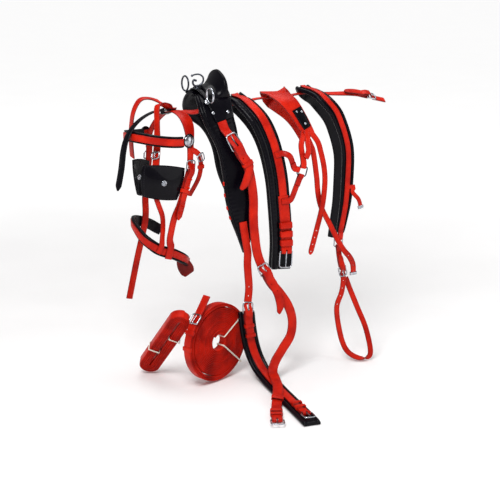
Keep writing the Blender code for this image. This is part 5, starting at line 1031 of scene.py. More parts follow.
def make_collar():
    route = draped(COLLAR_LINE, COLLAR_PLACE)
    pad = pad_mesh(route, 0.0, route.length, COLLAR_PAD_WIDTH, COLLAR_PAD_THICK, COLLAR_SECTION)
    padded_piece("collar_pad", pad)
    for offset, level in ((-0.33, 0.87), (0.80, 0.89)):
        seam(route, spaced(0.01, route.length - 0.01), offset * COLLAR_PAD_WIDTH / 2, COLLAR_PAD_THICK * level)
    base, side = COLLAR_PAD_THICK + 4 * GAP, COLLAR_STRAP_SIDE
    for name, way, s_bar in (("near_trace", 1, route.length - TRACE_BAR_PLACE), ("far_trace", -1, TRACE_BAR_PLACE)):
        trace = Buckle(route, s_bar, way, base, TRACE_STRAP, length=TRACE_BUCKLE_LENGTH, side=side)
        keepers = [trace.keeper(place, 3, WIDE_KEEPER_LENGTH) for place in WIDE_KEEPER_PLACES]
        carrier = trace.carrier(s_bar - way * (TRACE_START - TRACE_BAR_PLACE))
        leather_piece(name + "_strap", [carrier] + keepers, [trace.slot()])
        trace.plate(name, hinged=way > 0)
    strip = ribbon(route, TRACE_START + GAP, route.length - TRACE_START - GAP, STRAP, LEATHER, base, side)
    leather_piece("collar_strap", [strip])
    return route


def ring_mesh(centre, normals, radius, chamfer=0.24):
    """A wire ring with straight sides, each square to a way given in degrees in the XZ plane, tangent to a radius."""
    ways = list(spokes(np.radians(normals), TAILWARD, UPWARD))
    corners = [centre + radius * (a + b) / (1 + a @ b) for a, b in zip(ways, ways[1:] + ways[:1])]
    points = []
    for k, corner in enumerate(corners):
        before, after = corners[k - 1] - corner, corners[(k + 1) % len(corners)] - corner
        points += [corner + chamfer * ((1 - math.sin(a)) * before + (1 - math.cos(a)) * after)
                   for a in np.linspace(0, math.pi / 2, 7)]
    return tube_mesh(points, BUCKLE_WIRE / 2, 14, True)


def eye_places(centre, degrees, radius, thick):
    """Where a strap's underside heads for a ring's side: two points before it, and one under its wire."""
    way = spokes(math.radians(degrees), TAILWARD, UPWARD)
    bar = centre + radius * way - NEARWARD * (BUCKLE_WIRE / 2 + 2 * GAP + thick)
    return [bar + way * STATION_STEP, bar + way * STATION_STEP / 2, bar]


# Neck strap: two legs from the breast collar and one from the hip strap meet at a ring, whose sides face these ways
NECK_CENTRE, NECK_RING, NECK_NORMALS, NECK_STRAP = vec(0.245, -0.114, -0.157), 0.0128, (80, 156, 250, 345), 0.0165
LEG_ROOT_SHARES = (-0.3, 0.2, 0.7)


def neck_leg(points, degrees, root=()):
    """A strap of the neck strap whose end is turned round a side of the ring."""
    points = points + eye_places(NECK_CENTRE, degrees, NECK_RING, THIN_LEATHER)[1:]
    route = Route(points, facing(points, NEARWARD, root), STATION_STEP / 2)
    return Buckle(route, route.length, 1, 0.0, NECK_STRAP, THIN_LEATHER).carrier(0.0)


def make_neck_strap(collar):
    steel_piece("neck_ring", [ring_mesh(NECK_CENTRE, NECK_NORMALS, NECK_RING)], DARK_PLATE_AND_SHADE)
    for name, drop, table, degrees in (("upper", -0.112, UPPER_LEG_LINE, NECK_NORMALS[1]),
                                       ("lower", -0.236, LOWER_LEG_LINE, NECK_NORMALS[2])):
        s = collar.passing(drop)
        root = [collar.at(s, COLLAR_STRAP_SIDE + STRAP * share, COLLAR_PAD_THICK + LEATHER + 5 * GAP)
                for share in LEG_ROOT_SHARES]
        leather_piece("neck_strap_" + name,
                      [neck_leg(root + ON_RAIL.line(table), degrees, [collar.axes(s)[2]] * len(root))])


# Hip strap: one wide piece over the top, cut broad towards the collar, and split into two strands on the near side
HIP_WIDTH, STRAND, STRAND_SPREAD, LEG_ROOT = 0.056, 0.016, 0.0092, 0.016
HIP_TAPER = smooth_curve(((0, 0.64), (0.25, 0.8), (0.5, 1.0), (0.75, 0.8), (1, 0.64)))
HIP_BROAD = smooth_curve(((0, 0.0), (0.2, 0.05), (0.4, 0.3), (0.5, 0.34), (0.62, 0.2), (0.75, 0.04), (1, 0.0)))
PATCH_TAPER = smooth_curve(((0, 1.0), (0.5, 0.98), (1, 0.78)))
CAP_LENGTH, CAP_BACK = 0.009, 0.004
STRAND_HOLES = np.array((0.010, 0.030, 0.050, 0.070))
# A black leather patch with bright studs lies where the strands spring from: places before the strap's end
PATCH_START, PATCH_END, PATCH_WIDTH, PATCH_THICK, PATCH_SIDE = 0.080, 0.020, HIP_WIDTH * 0.52, 0.0022, 0.004
PATCH_STUD, PATCH_STUDS = 0.0030, ((0.072, 0.000), (0.066, 0.013), (0.033, 0.0045))


def end_cap(name, route, width, high):
    """A bright cap on a strap's end."""
    add_piece(name, [keeper_mesh(route, route.length - CAP_BACK, width, -GAP, high, length=CAP_LENGTH)], CHROME)


def make_hip_strap():
    route = draped(HIP_LINE, HIP_PLACE)
    meshes = [whole(route, HIP_WIDTH, LEATHER, swell=lambda u: HIP_TAPER(u) + HIP_BROAD(u),
                    side=lambda u: -HIP_BROAD(u) * HIP_WIDTH / 2)]
    holes = []
    for side, table, tip in ((-1, FRONT_STRAND_LINE, "square"), (1, REAR_STRAND_LINE, "round")):
        root = [route.at(route.length + d, side * STRAND_SPREAD, GAP / 2) for d in (-2 * OVERRUN, OVERRUN)]
        strand = Route(root + ON_RAIL.line(table, HIP_PLACE))
        meshes.append(whole(strand, STRAND, LEATHER - GAP, last=tip))
        if side < 0:
            end_cap("strand_cap", strand, STRAND, LEATHER)
        holes += punched(strand, strand.length - STRAND_HOLES)
    root = [route.at(route.length - LEG_ROOT, HIP_WIDTH * side, GAP) for side in (-0.02, -0.24)]
    meshes.append(neck_leg(root + ON_RAIL.line(HIP_LEG_LINE), NECK_NORMALS[0]))
    points = root[:1] + ON_RAIL.line(HIP_LOOP_LINE)
    meshes.append(whole(Route(points, facing(points, NEARWARD), STATION_STEP / 2), NECK_STRAP, THIN_LEATHER))
    leather_piece("hip_strap", meshes, holes)
    patch = ribbon(route, route.length - PATCH_START, route.length - PATCH_END, PATCH_WIDTH, PATCH_THICK,
                   LEATHER + GAP / 2, PATCH_SIDE, swell=PATCH_TAPER, colour="black")
    add_piece("hip_patch", [patch], BLACK_PATENT, BLACK_PAD)
    studs("hip_patch_studs", route, PATCH_STUD, LEATHER + 0.0025,
          [(route.length - back, side) for back, side in PATCH_STUDS])


# Breeching
BREECHING_PAD_WIDTH, BREECHING_PAD_THICK, BREECHING_STRIP, BREECHING_END = 0.040, 0.010, 0.015, 0.014
BREECHING_TAPER = smooth_curve(((0, 0.66), (0.06, 0.9), (0.12, 1.0), (0.6, 1.0), (0.72, 0.92), (0.9, 0.86), (1, 0.6)))
BREECHING_LEAN = smooth_curve(((0, 0.0), (0.6, 0.0), (0.75, 0.0022), (1, 0.0026)))
DEE_RADIUS, DEE_TURNS = 0.0125, (0, 103, 206, 283)
LOOP_BAR_HEIGHT, LOOP_TIP = -0.432, 0.036
SIDE_STRAP, SIDE_STRAP_HEIGHT, SIDE_ROOT_SHARES = 0.012, -0.210, (0.2, 0.8, 1.5)
LOOP_HOLES, BREECHING_SEAM_SHARE = (0.016, 0.038, 0.061, 0.086), 0.47


def make_breeching():
    route = draped(BREECHING_LINE, BREECHING_PLACE)
    pad = pad_mesh(route, 0.0, route.length - BREECHING_END, BREECHING_PAD_WIDTH, BREECHING_PAD_THICK,
                   NARROW_PAD_SECTION, 0.0, BREECHING_TAPER, BREECHING_LEAN)
    padded_piece("breeching_pad", pad)
    for sign in (-1, 1):
        seam(route, spaced(0.01, route.length - 0.09), sign * BREECHING_PAD_WIDTH / 2 * BREECHING_SEAM_SHARE,
             BREECHING_PAD_THICK * 0.86)
    level = BREECHING_PAD_THICK + 3 * GAP
    eye = Buckle(route, route.length - OVERRUN, 1, level, BREECHING_STRIP, length=EYE_LENGTH)
    along = route.axes(eye.s_bar)[0]
    normals = [math.degrees(math.atan2(-along[2], -along[0])) + turn for turn in DEE_TURNS]
    centre = route.at(eye.s_bar, 0.0, eye.level) + DEE_RADIUS * unit(vec(along[0], 0, along[2]))
    s = route.passing(SIDE_STRAP_HEIGHT)
    points = [route.at(s, BREECHING_STRIP * share, level + GAP) for share in SIDE_ROOT_SHARES]
    points += ON_RAIL.line(SIDE_STRAP_LINE, BREECHING_PLACE)
    side_route = Route(points, facing(points, NEARWARD, [route.axes(s)[2]] * 3), STATION_STEP / 2)
    side_strap = whole(side_route, SIDE_STRAP, THIN_LEATHER)
    end_cap("side_strap_cap", side_route, SIDE_STRAP, THIN_LEATHER + GAP)
    leather_piece("breeching_strip", [eye.carrier(GAP), side_strap])
    steel_piece("breeching_dee", [ring_mesh(centre, normals, DEE_RADIUS)])
    lower = eye_places(centre, normals[2], DEE_RADIUS, LEATHER)[::-1]
    loop = Route(lower + ON_RAIL.line(LOOP_LINE, BREECHING_PLACE), step=STATION_STEP / 2)
    dee_eye = Buckle(loop, 0.0, -1, 0.0, NARROW_STRAP, length=EYE_LENGTH)
    buckle = Buckle(loop, loop.passing(LOOP_BAR_HEIGHT, 0), 1, 0.0, NARROW_STRAP)
    leather_piece("breeching_tug", [buckle.carrier(0.0, dee_eye)], [buckle.slot()])
    holes = punched(loop, [buckle.s_bar + BUCKLE_LENGTH + x for x in LOOP_HOLES])
    leather_piece("loin_loop", [buckle.billet(loop.length, LOOP_TIP)], [buckle.billet_hole()] + holes)
    buckle.plate("loin_loop")


# Back strap: past the breeching it leans to the near side, by (place along the rail, degrees)
TAIL_LEAN = ((0.0, 0), (0.34, 0), (0.40, 26), (0.6, 26))
BACK_BAR_PLACE, BACK_TIP, BACK_HOLES = 0.484, 0.070, (0.034, 0.052)


def make_back_strap():
    """The back strap, and the crupper strap that its buckle holds."""
    points = ON_RAIL.line(BACK_LINE)
    lean = np.radians(np.interp([p[0] for p in points], *np.array(TAIL_LEAN).T))
    route = Route(points, spokes(lean, FARWARD, UPWARD))
    buckle = Buckle(route, float(np.interp(BACK_BAR_PLACE, route.points[:, 0], route.along)), 1, 0.0, STRAP)
    leather_piece("back_strap", [buckle.carrier(0.0)], [buckle.slot()])
    leather_piece("crupper_strap", [buckle.billet(route.length, BACK_TIP)],
                  [buckle.billet_hole()] + punched(route, [buckle.s_bar - x for x in BACK_HOLES]))
    buckle.plate("back")


# Bridle, in its own frame: its near side is turned away from the saddle
CROWN_WIDTH, CHEEK_BAR_HEIGHT, CHEEK_TIP, CHEEK_TIP_DRIFT = 0.036, -0.140, 0.135, 0.026
BEARING_ROOT, THROAT_ROOT_HEIGHT, FAR_CHEEK_LAP = 0.022, -0.086, 0.030
CHEEK_CROSSING, NOSE_CROSSING, BROW_HEIGHT, BROW_END_SHARES = 0.116, 0.147, -0.063, (0.12, -0.3)
BROW_PAD_END, BAND_PAD_WIDTH, BAND_PAD_THICK, BAND_STRIP, ROSETTE = 0.028, 0.030, 0.007, 0.019, 0.029
# Holes past the cheek's bar and before the throat strap's end, and the small buckles' lengths
CHEEK_HOLES, THROAT_HOLES, THROAT_BUCKLE, FAR_CHEEK_BUCKLE = (0.022, 0.045, 0.095, 0.115), (0.014, 0.046), 0.017, 0.020
# The crownpiece is cut wide over the poll: (distance from its top, share of the strap's width)
CROWN_WIDE_PLACES = ((-0.2, 1.0), (-0.075, 1.0), (-0.045, 1.25), (-0.01, 1.45), (0.03, 1.65), (0.08, 1.65),
                     (0.11, 1.4), (0.135, 1.05), (0.15, 1.0), (0.4, 1.0))
# How the noseband's tail falls, in millimetres: tailward, and up
NOSEBAND_TAIL = ((-24, 6), (-22, -4), (-15, -18), (-4, -36))
TAIL_TAPER = smooth_curve(((0, 0.8), (0.5, 1.0), (0.85, 0.9), (1, 0.7)))


def bands():
    """The routes of the noseband, the crown and the browband, each tied to the one before it."""
    noseband = Route(ON_BRIDLE.line(NOSEBAND_LINE), -UPWARD)
    crossing = [noseband.at(CHEEK_CROSSING, share * BAND_STRIP, 3 * GAP) for share in (-0.9, 0.0, 0.9)]
    crown = Route(ON_BRIDLE.line(CROWN_LINE) + crossing,
                  [ON_BRIDLE.way(TAILWARD)] * len(CROWN_LINE) + [-noseband.axes(CHEEK_CROSSING)[0]] * 3)
    near, far = ([crown.at(s, CROWN_WIDTH * share, 2 * THIN_LEATHER + 3 * GAP) for share in BROW_END_SHARES]
                 for s in (crown.passing(BROW_HEIGHT), crown.passing(BROW_HEIGHT, 0, False)))
    return noseband, crown, Route(near + ON_BRIDLE.line(BROWBAND_LINE) + far[::-1], -UPWARD)


def make_crown(route):
    """The crownpiece with its bearing and throat straps, the cheeks and their buckles."""
    cheek = Buckle(route, route.passing(CHEEK_BAR_HEIGHT), -1, 0.0, STRAP, THIN_LEATHER)
    held = cheek.s_bar + 2 * BUCKLE_LENGTH + 2 * KEEPER_LENGTH
    billet = cheek.billet(0.0, CHEEK_TIP, "point", drift=drifting(CHEEK_TIP_DRIFT, held, CHEEK_TIP, 1.2),
                          swell=smooth_curve([(route.top() + at, wide) for at, wide in CROWN_WIDE_PLACES]))
    s = route.top() + BEARING_ROOT
    points = [route.at(s, CROWN_WIDTH * share, GAP) for share in (0.1, 0.45)] + ON_RAIL.line(BEARING_LINE)
    bearing = Route(points, facing(points, unit(UPWARD + NEARWARD), [route.axes(s)[2]] * 2), STATION_STEP / 2)
    s = route.passing(THROAT_ROOT_HEIGHT)
    points = [route.at(s, side, GAP) for side in (0.0, STRAP / 3)] + ON_BRIDLE.line(THROAT_LINE)
    throat = Route(points, facing(points, ON_BRIDLE.way(NEARWARD)), STATION_STEP / 2)
    holes = punched(route, [cheek.s_bar + x for x in CHEEK_HOLES], out=0.006)
    holes += punched(throat, throat.length - np.array(THROAT_HOLES))
    leather_piece("crownpiece", [billet] + [whole(line, NARROW_STRAP, THIN_LEATHER) for line in (bearing, throat)],
                  [cheek.billet_hole()] + holes)
    leather_piece("near_cheek", [cheek.carrier(route.length), cheek.keeper(2 * BUCKLE_LENGTH)], [cheek.slot()])
    cheek.plate("cheek")
    lap = [route.at(FAR_CHEEK_LAP * share, 0.0, -THIN_LEATHER - GAP) for share in (1.0, 0.5, 0.0)]
    far = Route(lap + ON_BRIDLE.line(FAR_CHEEK_LINE), ON_BRIDLE.way(-TAILWARD))
    leather_piece("far_cheek", [whole(far, STRAP, THIN_LEATHER)])
    level = THIN_LEATHER + GAP
    small_buckle("throat_buckle_plate", throat, throat.length * 0.20, 1, level, NARROW_STRAP, 0.0, THROAT_BUCKLE)
    small_buckle("far_cheek_plate", far, FAR_CHEEK_LAP + 0.030, -1, level, STRAP, 0.0, FAR_CHEEK_BUCKLE)
    add_piece("bridle_keepers", [keeper_mesh(line, s, width, -GAP, level + GAP) for line, s, width in (
        (far, FAR_CHEEK_LAP + 0.056, STRAP), (throat, throat.length * 0.42, NARROW_STRAP))], SCARLET_STRAP)
    return far


def make_bands(noseband, browband):
    """The browband and the noseband on their padded backs, and the domed rosettes on black discs."""
    for name, route, end in (("browband", browband, BROW_PAD_END), ("noseband", noseband, 0.0)):
        pad = pad_mesh(route, end, route.length - end, BAND_PAD_WIDTH, BAND_PAD_THICK, BAND_SECTION,
                       -BAND_PAD_THICK - THIN_LEATHER)
        padded_piece(name + "_pad", pad)
        strip = ribbon(route, GAP, route.length - GAP, BAND_STRIP, THIN_LEATHER, 2 * GAP - THIN_LEATHER)
        leather_piece(name + "_strip", [strip])
        if name == "browband":
            for side, s in (("near", ROSETTE / 2), ("far", route.length - ROSETTE / 2)):
                foot, out = route.at(s, 0.0, 3 * GAP), route.axes(s)[2]
                steel_piece(side + "_rosette", [turned_mesh(ROSETTE_DOME, foot, out, 40, ROSETTE * 0.58)])
                disc = turned_mesh(ROSETTE_DISC, foot, out, 48, ROSETTE * 0.58)
                add_piece(side + "_rosette_disc", [disc], BLACK_PATENT)
    # The noseband's near end is turned down past its pad, with its side to the near. Its face is drawn in the darker
    # edge leather: painted shade
    corner = noseband.at(0.006, 0.0, 0.005)
    tail = Route([corner + vec(x, 0, z) / 1000 for x, z in NOSEBAND_TAIL], TAILWARD, 0.006)
    add_piece("noseband_end", [whole(tail, BAND_STRIP * 2.2, THIN_LEATHER - GAP, swell=TAIL_TAPER)], SCARLET_EDGE_AND_SHADE)


BLINKER_THICK, BLINKER_CUP, BLINKER_LAP, FAR_BLINKER_SLACK = 0.005, 0.010, 0.005, 0.0016
PLATE_RIM, BLINKER_SEAM_SHARE, BLINKER_RIVET, CROWN_KNOB = 0.0026, 0.9, 0.0080, 0.0105
NEAR_BLINKER_HEIGHTS, FAR_BLINKER_HEIGHTS = (-0.130, -0.222), (-0.132, -0.228)
# A rounded outline: how much each side of the plate bows in towards its corners
BLINKER_BOW = 0.16


def plate_mesh(points, thick):
    """A plate over a grid of points: its faces stand off by half the thickness and round off at the rim."""
    normal = units(np.cross(np.gradient(points, axis=0), np.gradient(points, axis=1)))
    away = []
    for axis in (0, 1):
        steps = np.linalg.norm(np.diff(points, axis=axis), axis=2).mean(1 - axis)
        run = np.concatenate([[0], np.cumsum(steps)])
        away.append(np.minimum(run, run[-1] - run))
    u = np.clip(np.minimum(away[0][:, None], away[1][None, :]) / PLATE_RIM, 0.0, 1.0)
    stand = (thick / 2 * np.sqrt(np.maximum(u * (2 - u), 0.04)))[:, :, None] * normal
    return skin(np.concatenate([points + stand, (points - stand)[:, ::-1]], axis=1))


def make_blinkers(crown, far_cheek):
    """The blinkers: cupped plates sewn behind the cheeks, each edged with stitches and riveted in its middle."""
    behind = -BLINKER_THICK / 2 - GAP
    near_rear = [crown.at(crown.passing(h), BLINKER_LAP - STRAP / 2, behind) for h in NEAR_BLINKER_HEIGHTS]
    far_rear = [far_cheek.at(far_cheek.passing(h, 0), 0.0, behind - FAR_BLINKER_SLACK) for h in FAR_BLINKER_HEIGHTS]
    line = np.concatenate([[-1, -0.992, -0.972, -0.945], np.linspace(-0.9, 0.9, 25), [0.945, 0.972, 0.992, 1]])
    for name, table, (b, d), way in (("near_blinker", NEAR_BLINKER_LINE, near_rear, -1),
                                     ("far_blinker", FAR_BLINKER_LINE, far_rear, 1)):
        a, c = ON_BRIDLE.line(table)
        outward = unit(np.cross(b - a, c - a)) * way

        def cup(u, v):
            x = (u * np.sqrt(1 - BLINKER_BOW * v * v) * 0.5 + 0.5)[..., None]
            y = (v * np.sqrt(1 - BLINKER_BOW * u * u) * 0.5 + 0.5)[..., None]
            flat = (1 - y) * ((1 - x) * a + x * b) + y * ((1 - x) * c + x * d)
            return flat + outward * BLINKER_CUP * ((1 - u * u) * (1 - v * v))[..., None]
        add_piece(name + "_leather", [plate_mesh(cup(*np.meshgrid(line, line, indexing="ij")), BLINKER_THICK)],
                  BLACK_PATENT, replaces=[name])
        edge = np.linspace(-BLINKER_SEAM_SHARE, BLINKER_SEAM_SHARE, int(0.075 / STITCH_PITCH))
        rim = np.full_like(edge, BLINKER_SEAM_SHARE)
        for x, y in ((edge, -rim), (edge, rim), (-rim, edge), (rim, edge)):
            p = cup(x, y)
            ways, n = units(np.gradient(p, axis=0)), np.tile(outward, (len(p), 1))
            for sign in (-1, 1):
                face = p + sign * n * BLINKER_THICK * 0.5
                STITCHES["black"].append(np.stack([face, ways, np.cross(n, ways), sign * n], 1))
        middle = cup(np.zeros(1), np.zeros(1))[0]
        add_piece(name + "_rivet", [turned_mesh(RIVET, middle + face * BLINKER_THICK / 2, face, 28, BLINKER_RIVET)
                                    for face in (-outward, outward)], CHROME)


# The stay's ends are cut wide where they are sewn to the blinkers, and the near one has a small buckle above
STAY_TAPER = smooth_curve(((0, 1.25), (0.3, 1.25), (0.6, 1.25), (0.76, 1.5), (0.9, 1.55), (1, 1.55)))
STAY_BUCKLE_SHARE, STAY_LEAN_SHARE = 0.85, 0.8
FACE_DROP_WIDTH, FACE_DROP_TAPER = 0.024, smooth_curve(((0, 0.6), (0.45, 0.7), (0.7, 1.0), (1, 1.0)))
CROWN_SEAT_SHARES = (0.25, -0.25)


def make_bridle_straps(noseband, crown):
    """The winker stay and the face drop, rooted one on the other on the crown, and the strap to the noseband."""
    front, level = ON_BRIDLE.way(-TAILWARD), THIN_LEATHER + GAP
    top = crown.top()
    up = crown.axes(top)[2]
    lower, upper = ([crown.at(top, CROWN_WIDTH * share, k * level) for share in CROWN_SEAT_SHARES] for k in (1, 2))

    def line(table, out, root=(), end=()):
        points = list(root) + ON_BRIDLE.line(table) + list(end)
        ways = facing(points, out, [up] * len(root))
        return Route(points, ways[:len(ways) - len(end)] + [-noseband.axes(NOSE_CROSSING)[0]] * len(end))
    crossing = [noseband.at(NOSE_CROSSING, share * BAND_STRIP, 4 * GAP) for share in (-0.6, 0.5)]
    nose = line(NOSE_STRAP_LINE, ON_BRIDLE.way(NEARWARD), end=crossing)
    leather_piece("nose_strap", [whole(nose, NARROW_STRAP, THIN_LEATHER)])
    lean = unit(front + UPWARD * STAY_LEAN_SHARE)
    stays = [line(STAY_NEAR_LINE, lean, upper), line(STAY_FAR_LINE, lean, upper[1:])]
    place = stays[0].length * STAY_BUCKLE_SHARE
    small_buckle("stay_buckle_plate", stays[0], place, 1, level, NARROW_STRAP * 1.25, 0.0002, 0.017)
    loop = keeper_mesh(stays[0], place - 0.016, NARROW_STRAP, -GAP, level, length=0.008)
    add_piece("stay_keeper", [loop], SCARLET_STRAP)
    leather_piece("winker_stay", [whole(stay, NARROW_STRAP, THIN_LEATHER, swell=STAY_TAPER) for stay in stays])
    drop = whole(line(FACE_DROP_LINE, unit(front + UPWARD), lower), FACE_DROP_WIDTH, THIN_LEATHER, last="point",
                 swell=FACE_DROP_TAPER, colour="black")
    leather_piece("face_drop", [drop], (), BLACK_PATENT, BLACK_PAD)
    # A dark knob and a patent loop hold the stay and the bearing strap together on the crown
    loop = keeper_mesh(crown, top - 0.022, CROWN_WIDTH * 0.78, -GAP, 3 * THIN_LEATHER + 6 * GAP, length=0.017)
    add_piece("crown_loop", [loop], BLACK_PATENT)
    foot = crown.at(top, CROWN_WIDTH * CROWN_SEAT_SHARES[1], 3 * THIN_LEATHER + 4 * GAP)
    add_piece("crown_knob", [turned_mesh(RIVET, foot, up, 28, CROWN_KNOB)], DARK_PLATE_AND_SHADE)


# Rolled reins and traces, stood on the floor, both wound with so many points a turn
ROLL_POINTS = 60
REIN_WIDTH, REIN_THICK, REIN_PITCH, REIN_CORE, REIN_TURNS = 0.025, 0.0041, 0.0052, 0.017, 18
REIN_ROLL_PLACE, REIN_ROLL_FACING, REIN_END_ANGLE = (-0.022, -0.1658), math.radians(27), math.radians(46)
REIN_TAIL, REIN_TAIL_LIFT = 0.070, math.radians(10)
# The reins are wound round an open core, and the outer turns stand off on the side of the buckle
REIN_OPEN, REIN_LOOSE, REIN_LOOSE_ANGLE = 0.024, 0.0050, math.radians(20)
# The turns of a hand-wound strap don't lie flush: each stands a little proud of the last or behind it
TURN_SLIP = 0.0016
TIE_ROUND, TIE_RADIUS, TIE_APART, TIE_CLEAR = 0.002, 0.0009, 0.0011, 0.0012
REIN_TIES, REIN_KEEPER_PLACES, REIN_BUCKLE, REIN_BUCKLE_PLACE = (147, 223), (0.52, 0.22), 0.026, 0.70
TRACE_TIES = ((-0.35, -1), (0.30, 1))


def wound(name, points, outward, axis, thick, turns, seed):
    """A strap wound on edge round an axis: its section carried along points, at so many turns for each.

    Each turn slips a little along the axis: a seeded step, eased between turns.
    """
    steps = np.random.default_rng(seed).uniform(-1, 1, int(turns.max()) + 2)
    steps[1::2] = -np.abs(steps[1::2])
    points = points + axis * TURN_SLIP * smooth_curve(list(enumerate(steps)))(turns)[:, None]
    rows = len(points)
    roll = strap_mesh(points - outward * thick / 2, np.broadcast_to(axis, (rows, 3)), outward,
                      np.full(rows, REIN_WIDTH / 2), thick, None)
    add_piece(name + "_leather", [roll], SCARLET_STRAP, SCARLET_ROLL, [name])


def string_ties(name, axis, inner, outer, places):
    """Two turns of string round a roll at each place, in the plane of its axis and one reach from a centre."""
    made = []
    half = REIN_WIDTH / 2 + TIE_CLEAR - TIE_ROUND
    for centre, reach in places:
        for turn in (-1, 1):
            middle = centre + np.cross(axis, reach) * turn * TIE_APART
            corners = [middle + reach * (u + TIE_ROUND * (pull + math.cos(a)))
                       + axis * (w * half + TIE_ROUND * math.sin(a))
                       for u, pull, w, start in ((outer, -1, 1, 0), (inner, 1, 1, 90), (inner, 1, -1, 180),
                                                 (outer, -1, -1, 270))
                       for a in np.radians(np.linspace(start, start + 90, 5))]
            made.append(tube_mesh(corners, TIE_RADIUS, 8, closed=True))
    add_piece(name, made, STRING)


def make_rein_roll():
    """The reins wound in a flat spiral whose turns lie on each other, tied with string through the core.

    The last turns are slack: they stand off by a share of the slack that is greatest at one angle.
    """
    axis = vec(math.sin(REIN_ROLL_FACING), -math.cos(REIN_ROLL_FACING), 0)
    level = np.cross(axis, UPWARD)
    radius = REIN_CORE + REIN_TURNS * REIN_PITCH
    centre = vec(*REIN_ROLL_PLACE, -FLOOR_DEPTH + radius + REIN_THICK / 2)
    turns = np.arange(REIN_TURNS * ROLL_POINTS + 1) / ROLL_POINTS
    angle = REIN_END_ANGLE - 2 * math.pi * (REIN_TURNS - turns)
    out = spokes(angle, level, UPWARD)
    tight = (radius - REIN_OPEN - REIN_LOOSE) / REIN_TURNS
    loose = np.clip((turns - REIN_TURNS + 3.2) / 1.2, 0, 1)
    loose = loose * loose * (3 - 2 * loose) * (0.5 + 0.5 * np.cos(angle - REIN_LOOSE_ANGLE))
    points = centre + out * (REIN_OPEN + tight * turns + REIN_LOOSE * loose)[:, None]
    lifted = REIN_END_ANGLE - REIN_TAIL_LIFT
    run = UPWARD * math.cos(lifted) - level * math.sin(lifted)
    tail = points[-1] + run * np.linspace(0.004, REIN_TAIL, 18)[:, None]
    wound("rein_roll", np.vstack([points, tail]), np.vstack([out, np.repeat(out[-1:], 18, 0)]), axis, tight * 0.88,
          np.concatenate([turns, np.full(18, REIN_TURNS)]), 7)
    string_ties("rein_roll_ties", axis, REIN_OPEN - 0.004, radius + REIN_THICK / 2 + 0.0008,
                [(centre, reach) for reach in spokes(np.radians(REIN_TIES), level, UPWARD)])
    arc = np.radians(np.linspace(-14, 62, 14))
    outer = radius + REIN_PITCH * (arc - REIN_END_ANGLE) / (2 * math.pi)
    route = Route(centre + spokes(arc, level, UPWARD) * outer[:, None], -axis, 0.006)
    side = REIN_THICK / 2 + GAP
    s = route.length * REIN_BUCKLE_PLACE
    small_buckle("rein_buckle_plate", route, s, 1, side, REIN_WIDTH, 0.0002, REIN_BUCKLE)
    add_piece("rein_keepers", [keeper_mesh(route, route.length * u, REIN_WIDTH, -side, side, length=0.011)
                               for u in REIN_KEEPER_PLACES], SCARLET_STRAP)


TRACE_TURNS, TRACE_CORE, TRACE_RUN, TRACE_ROLL_PLACE = 5, 0.0025, 0.099, (-0.1536, -0.1186)
TRACE_ROLL_LONG, TRACE_ROLL_AXIS = unit(vec(0.262, -0.59, 0.764)), unit(vec(0.0315, -0.775, -0.611))
# The hank leans back from the reins, so that its wound side faces up a little
HANK_TURN = math.radians(22)


def make_trace_roll():
    """The traces wound into a long hank: straight runs joined by half rounds, tied with string in two places."""
    long = TRACE_ROLL_LONG
    axis = unit(TRACE_ROLL_AXIS - (TRACE_ROLL_AXIS @ long) * long)
    axis = axis * math.cos(HANK_TURN) - np.cross(long, axis) * math.sin(HANK_TURN)
    cross = np.cross(long, axis)
    half = TRACE_CORE + TRACE_TURNS * REIN_PITCH
    drop = (TRACE_RUN * abs(long[2]) + (half + REIN_THICK) * math.hypot(long[2], cross[2])
            + REIN_WIDTH / 2 * abs(axis[2]))
    centre = vec(*TRACE_ROLL_PLACE, -FLOOR_DEPTH + drop)
    rows = []
    for k in range(TRACE_TURNS * ROLL_POINTS + 1):
        angle = 2 * math.pi * k / ROLL_POINTS
        out = long * math.cos(angle) + cross * math.sin(angle)
        runs = [math.copysign(1, math.cos(angle))]
        if abs(math.cos(angle)) < 1e-6:
            runs = math.copysign(1, math.sin(angle)) * np.linspace(0.94, -0.94, 20)
        for u in runs:
            point = centre + long * TRACE_RUN * u + out * (TRACE_CORE + REIN_PITCH * k / ROLL_POINTS)
            rows.append((*point, *out, k / ROLL_POINTS))
    rows = np.array(rows)
    wound("trace_roll", rows[:, :3], rows[:, 3:6], axis, REIN_PITCH * 0.9, rows[:, 6], 3)
    string_ties("trace_roll_ties", axis, 0.0, half + REIN_THICK / 2 + 0.0008,
                [(centre + long * TRACE_RUN * place, cross * sign) for place, sign in TRACE_TIES])


# The studio: the floor's reach, and the distances between which its paper begins to glow like a lit backdrop
STUDIO_REACH, GLOW_START, GLOW_FULL, GLOW, DAYLIGHT = 60.0, 0.7, 3.4, 0.68, 0.30
WHITE = linear("#FFFFFF")
# Camera, at the photograph's viewing angle
CAMERA_AZIMUTH, CAMERA_HEIGHT, CAMERA_DISTANCE = math.radians(-20.0), math.radians(15.0), 3.2
TARGET = vec(0.086, -0.134, -0.360)
LAMPS = (("key", vec(-0.9, -1.5, 1.6), 1.3, 52.0), ("fill", vec(1.8, -1.3, 0.5), 1.6, 9.0),
         ("top", vec(0.3, 0.6, 1.9), 2.0, 29.0))


def aimed(obj, place):
    obj.location = place
    obj.rotation_euler = Vector(TARGET - place).to_track_quat("-Z", "Y").to_euler()
    return obj


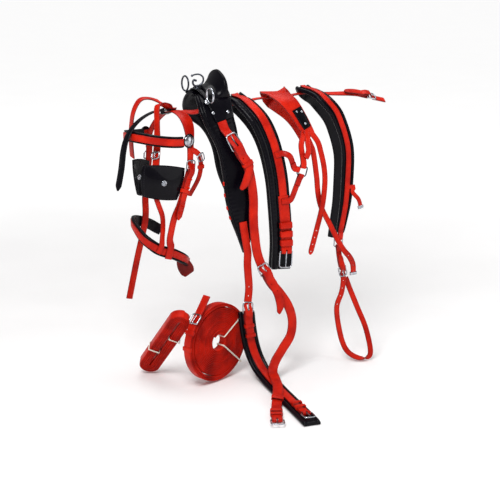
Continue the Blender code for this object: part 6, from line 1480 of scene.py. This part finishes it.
def make_stage():
    """A pale round floor that glows towards its rim, so it is white from every side, and soft lights and camera."""
    rim = np.column_stack([spokes(full_turn(64), np.array((1, 0)), np.array((0, 1))) * STUDIO_REACH,
                           np.full(64, -FLOOR_DEPTH)])
    mesh = bpy.data.meshes.new("studio")
    mesh.from_pydata(rim.tolist(), [], [range(64)])
    paper = surface("studio_paper", "#FCFBFB", "#F8F7F7", 3.0, Emission_Color=WHITE, Roughness=0.9)
    tree = paper.node_tree
    where = tree.nodes["Texture Coordinate"]
    away = node(tree, "ShaderNodeVectorMath", [("Vector", where, "Object")], operation="LENGTH")
    glow = node(tree, "ShaderNodeMapRange", [("Value", away, "Value")], interpolation_type="SMOOTHSTEP",
                From_Min=GLOW_START, From_Max=GLOW_FULL, To_Min=0.0, To_Max=GLOW)
    tree.links.new(glow.outputs["Result"], tree.nodes["Principled BSDF"].inputs["Emission Strength"])
    mesh.materials.append(paper)
    placed("studio_floor", mesh)
    # The sky lights the harness softly, and is as white as the paper where the camera sees past its rim
    world = bpy.data.worlds.new("soft_daylight")
    world.use_nodes = True
    sky = world.node_tree.nodes["Background"]
    sky.inputs["Color"].default_value = WHITE
    path = node(world.node_tree, "ShaderNodeLightPath")
    seen = node(world.node_tree, "ShaderNodeMapRange", [("Value", path, "Is Camera Ray")],
                To_Min=DAYLIGHT, To_Max=DAYLIGHT + GLOW)
    world.node_tree.links.new(seen.outputs["Result"], sky.inputs["Strength"])
    bpy.context.scene.world = world
    for name, place, size, power in LAMPS:
        lamp = bpy.data.lights.new(name, "AREA")
        lamp.shape, lamp.size, lamp.energy = "DISK", size, power
        aimed(placed(name, lamp), place)
    back = (vec(math.sin(CAMERA_AZIMUTH), -math.cos(CAMERA_AZIMUTH), 0) * math.cos(CAMERA_HEIGHT)
            + UPWARD * math.sin(CAMERA_HEIGHT))
    lens = bpy.data.cameras.new("camera")
    lens.lens, lens.sensor_width, lens.clip_end = 85.0, 36.0, 50.0
    bpy.context.scene.camera = aimed(placed("camera", lens), TARGET + CAMERA_DISTANCE * back)
    bpy.context.scene.view_settings.view_transform = "Standard"


make_stage()
make_panels()
make_seat()
make_fittings()
make_near_tug()
make_far_tug()
sewn("saddle")
make_girth()
sewn("girth")
make_neck_strap(make_collar())
sewn("collar")
make_hip_strap()
make_back_strap()
sewn("hip")
make_breeching()
sewn("breeching")
NOSEBAND, CROWN, BROWBAND = bands()
FAR_CHEEK = make_crown(CROWN)
make_bands(NOSEBAND, BROWBAND)
make_blinkers(CROWN, FAR_CHEEK)
make_bridle_straps(NOSEBAND, CROWN)
sewn("bridle")
make_rein_roll()
make_trace_roll()
